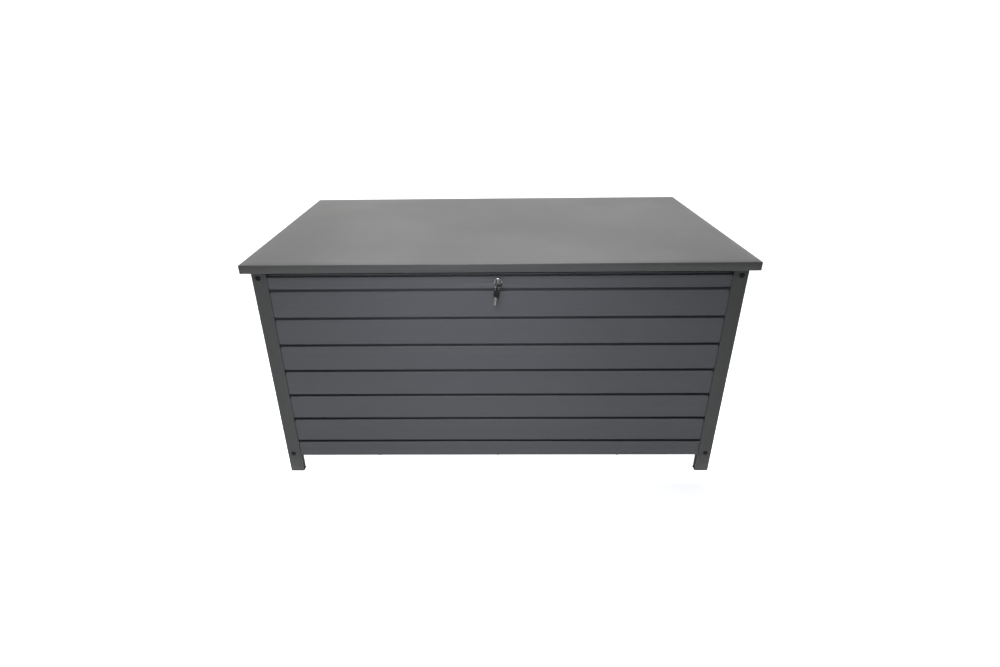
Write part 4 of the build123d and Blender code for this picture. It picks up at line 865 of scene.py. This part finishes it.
def pan_head(name, radius, height, shank_radius, shank_length):
    """A pan-head screw, its domed head upwards and the seat of the head at 0."""
    screw = lathed(name, [
        (0, height), (radius * 0.45, height * 0.97), (radius * 0.75, height * 0.82),
        (radius * 0.93, height * 0.55), (radius, height * 0.2), (radius, 0),
        (shank_radius, 0), (shank_radius, -shank_length), (0, -shank_length)], sides=20)
    cutter_work = bmesh.new()
    for quarter in (0, pi / 2):
        arm = (Matrix.Rotation(quarter, 4, "Z") @ Matrix.Translation((0, 0, height))
               @ Matrix.Diagonal((radius * recess_length, radius * recess_width,
                                  height * recess_depth * 2, 1)))
        bmesh.ops.create_cube(cutter_work, size=1, matrix=arm)
    cutter_mesh = bpy.data.meshes.new("cross")
    cutter_work.to_mesh(cutter_mesh)
    cutter_work.free()
    cutter = new_object("cross", cutter_mesh)
    recess = screw.modifiers.new("cross_recess", "BOOLEAN")
    recess.object = cutter
    recess.operation = "DIFFERENCE"
    recess.use_self = True
    made_plain(screw)
    bpy.data.objects.remove(cutter)
    return screw


zinc_grey = (0.62, 0.63, 0.64)
zinc = plated_steel("zinc_plate", zinc_grey, roughness=0.32)
# Each group: its node, its body, its axis, head's radius and height, and shank's radius.
screw_groups = (
    ("bearer_screws", "box", "z", 0.0045, 0.0032, 0.002),
    ("bracket_screws", "box", "", 0.0040, 0.0022, 0.002),
    ("panel_screws", "box", "y", 0.0030, 0.0018, 0.0015),
    ("strut_bar_screws", "box", "x", 0.0040, 0.0022, 0.002),
    ("hinge_box_screws", "box", "y", 0.0037, 0.0022, 0.002),
    ("lid_screws", "lid", "z", 0.0037, 0.0022, 0.002),
)
for node, body, axis, head_radius, head_height, shank_radius in screw_groups:
    points = []
    longest = 0
    for low, high in solid_boxes(node):
        size = high - low
        letter = axis or max("xyz", key=lambda name: size["xyz".index(name)])
        along = "xyz".index(letter)
        centre = (low + high) / 2
        # Heads face outwards on the hinges, downwards under floor and lid, and inwards elsewhere.
        if letter == "z":
            sign = -1
        elif node == "hinge_box_screws":
            sign = 1
        else:
            sign = -1 if centre[along] > 0 else 1
        facing = Vector((0, 0, 0))
        facing[along] = sign
        seat = centre.copy()
        seat[along] = (low[along] + head_height) if sign < 0 else (high[along] - head_height)
        points.append((seat, facing))
        longest = max(longest, size[along] - head_height)
    screw = pan_head(f"{node}_one", head_radius, head_height, shank_radius, longest)
    finish(set_at(f"{node}_plated", screw, zinc, points), body, "zinc_steel", None, node)
    bpy.data.objects.remove(screw)


# ------------------------------------------------------------------ hinges, brackets and struts
# Three folded steel hinges, steel angles in the top corners, the frame's bolts,
# the strike, and two gas struts on flat steel bars: black tubes, bright rods and
# pressed eyes.
plate_edge = 0.0003
for node, body in (("hinge_box_leaves", "box"), ("hinge_lid_leaves", "lid"), ("hinge_pins", "box"),
                   ("corner_brackets", "box"), ("strut_bars", "box"), ("strut_box_pins", "box"),
                   ("strut_lid_brackets", "lid"), ("strike_plate", "lid"), ("frame_bolts", "box")):
    finish(softened(node, f"{node}_plated", plate_edge), body, "zinc_steel", zinc, node)

strut_black = (0.014, 0.014, 0.015)
rod_chrome = (0.72, 0.73, 0.75)
tube_edge = 0.0006
rod_edge = 0.0004
strut_paint, strut_nodes, strut_shader = principled("strut_black_paint")
strut_clouds = noise_on(strut_nodes, evenly_fine, scale=60, detail=3, seed=6)
strut_nodes.links.new(spread(strut_nodes, strut_clouds, 0.22, 0.32), strut_shader.inputs["Roughness"])
strut_shade = spread(strut_nodes, strut_clouds, 0.85, 1.15)
strut_nodes.links.new(tinted(strut_nodes, strut_black, strut_shade), strut_shader.inputs["Base Color"])
polished_rod = plated_steel("hard_chrome", rod_chrome, roughness=0.12)
for hand in ("left", "right"):
    tube = softened(f"{hand}_strut_cylinder", f"{hand}_strut_tube_painted", tube_edge)
    finish(tube, f"{hand}_cylinder", "strut_black", strut_paint, f"{hand}_strut_cylinder")
    rod = softened(f"{hand}_strut_rod", f"{hand}_strut_rod_polished", rod_edge)
    finish(rod, f"{hand}_rod", "chrome", polished_rod, f"{hand}_strut_rod")


# ------------------------------------------------------------------ floor and the lid's inside
# A grey plastic floor panel lies on bare aluminium bearers.  The lid is stiffened
# by bare aluminium members and closed below by a thin sheet of the same metal.
bare_aluminium = (0.60, 0.61, 0.62)
mill_finish, mill_nodes, mill_shader = principled("mill_aluminium")
mill_clouds = noise_on(mill_nodes, (2, 2, 2), scale=30, detail=5, seed=8)
mill_shade = spread(mill_nodes, mill_clouds, 0.92, 1.06)
mill_nodes.links.new(tinted(mill_nodes, bare_aluminium, mill_shade), mill_shader.inputs["Base Color"])
mill_nodes.links.new(spread(mill_nodes, mill_clouds, 0.34, 0.46), mill_shader.inputs["Roughness"])
mill_shader.inputs["Metallic"].default_value = 1.0
for node in ("floor_bearers", "lid_frame", "lid_ribs", "lid_lining"):
    for slot_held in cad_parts[node].material_slots:
        slot_held.material = mill_finish

panel_grey = (0.16, 0.165, 0.17)
panel_edge = 0.0008
panel_plastic = moulded_plastic("floor_panel_plastic", panel_grey, roughness=0.6, specular=0.5,
                                grain_depth=0.0002)
floor_sheet = softened("floor_panel", "floor_panel_sheet", panel_edge)
finish(floor_sheet, "box", "floor_plastic", panel_plastic, "floor_panel")


# ------------------------------------------------------------------ lock
# A chromed die-cast cam lock, clamped through the top rail by its nut.  Its plug
# turns a plated steel cam, held on by one screw.
# The chrome is set darker than real chrome: painted shade for the dim surroundings that it mirrors.
chrome_grey_painted_dark = (0.40, 0.40, 0.42)
chrome = plated_steel("lock_chrome_painted_dark", chrome_grey_painted_dark, roughness=0.18)
# Each piece: its node, how its surface is made, its rounded edge, its body, its slot and its metal.
lock_pieces = (
    ("lock_body", "chromed", 0.0003, "box", "chrome", chrome),
    ("lock_nut", "plated", 0.0004, "box", "zinc_steel", zinc),
    ("lock_plug", "chromed", 0.00015, "lock_barrel", "chrome", chrome),
    ("lock_cam", "plated", 0.0002, "lock_barrel", "zinc_steel", zinc),
    ("lock_cam_screw", "plated", 0.0002, "lock_barrel", "zinc_steel", zinc),
)
for node, surface, edge, body, slot_name, metal in lock_pieces:
    finish(softened(node, f"{node}_{surface}", edge), body, slot_name, metal, node)


# ------------------------------------------------------------------ keys and ring
# Two nickel-plated keys with black moulded heads, on a split ring of spring
# steel.  One key stands in the lock and the other hangs from the ring.
key_black = (0.003, 0.003, 0.003)
# The nickel is set far darker than real nickel: painted shade that dims its reflections of the lamps.
nickel_grey_painted_dark = (0.25, 0.245, 0.24)
key_head_edge = 0.0003
key_blade_edge = 0.00012
key_plastic = moulded_plastic("key_head_plastic", key_black, roughness=0.5, specular=0.2,
                              grain_depth=0.00002)
nickel = plated_steel("key_nickel_painted_dark", nickel_grey_painted_dark, roughness=0.34)
for which, body in (("", "key"), ("spare_", "spare_key")):
    head = softened(f"{which}key_head", f"{which}key_head_moulded", key_head_edge)
    finish(head, body, "black_plastic", key_plastic, f"{which}key_head")
    blade = softened(f"{which}key_blade", f"{which}key_blade_nickelled", key_blade_edge)
    finish(blade, body, "zinc_steel", nickel, f"{which}key_blade")

ring_low, ring_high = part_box("key_ring")
ring_centre = (ring_low + ring_high) / 2
ring_wire = 0.00036
ring_inset = 0.0007
ring_radius = (ring_high.z - ring_low.z) / 2 - ring_inset
ring_turn = radians(40)
turn_count = 1.9
change_share = 1 / 16
steps = 96
split_ring = bpy.data.curves.new("split_ring", "CURVE")
split_ring.dimensions = "3D"
split_ring.bevel_depth = ring_wire
split_ring.bevel_resolution = 3
split_ring.use_fill_caps = True
wire = split_ring.splines.new("POLY")
wire.points.add(steps)
for step, point in enumerate(wire.points):
    share = step / steps
    angle = 2 * pi * turn_count * share
    # The two turns lie side by side and change over in a short ramp.
    shift = max(-1, min(1, (share - 0.5) / change_share)) * ring_wire
    flat = Vector((shift, ring_radius * cos(angle), ring_radius * sin(angle)))
    flat.rotate(Matrix.Rotation(-ring_turn, 3, "Z"))
    point.co = (*(ring_centre + flat), 1)
ring_curve = new_object("split_ring_curve", split_ring)
seen = ring_curve.evaluated_get(bpy.context.evaluated_depsgraph_get())
ring_piece = new_object("split_ring", bpy.data.meshes.new_from_object(seen))
bpy.data.objects.remove(ring_curve)
finish(ring_piece, "key_ring", "chrome", nickel, "key_ring")
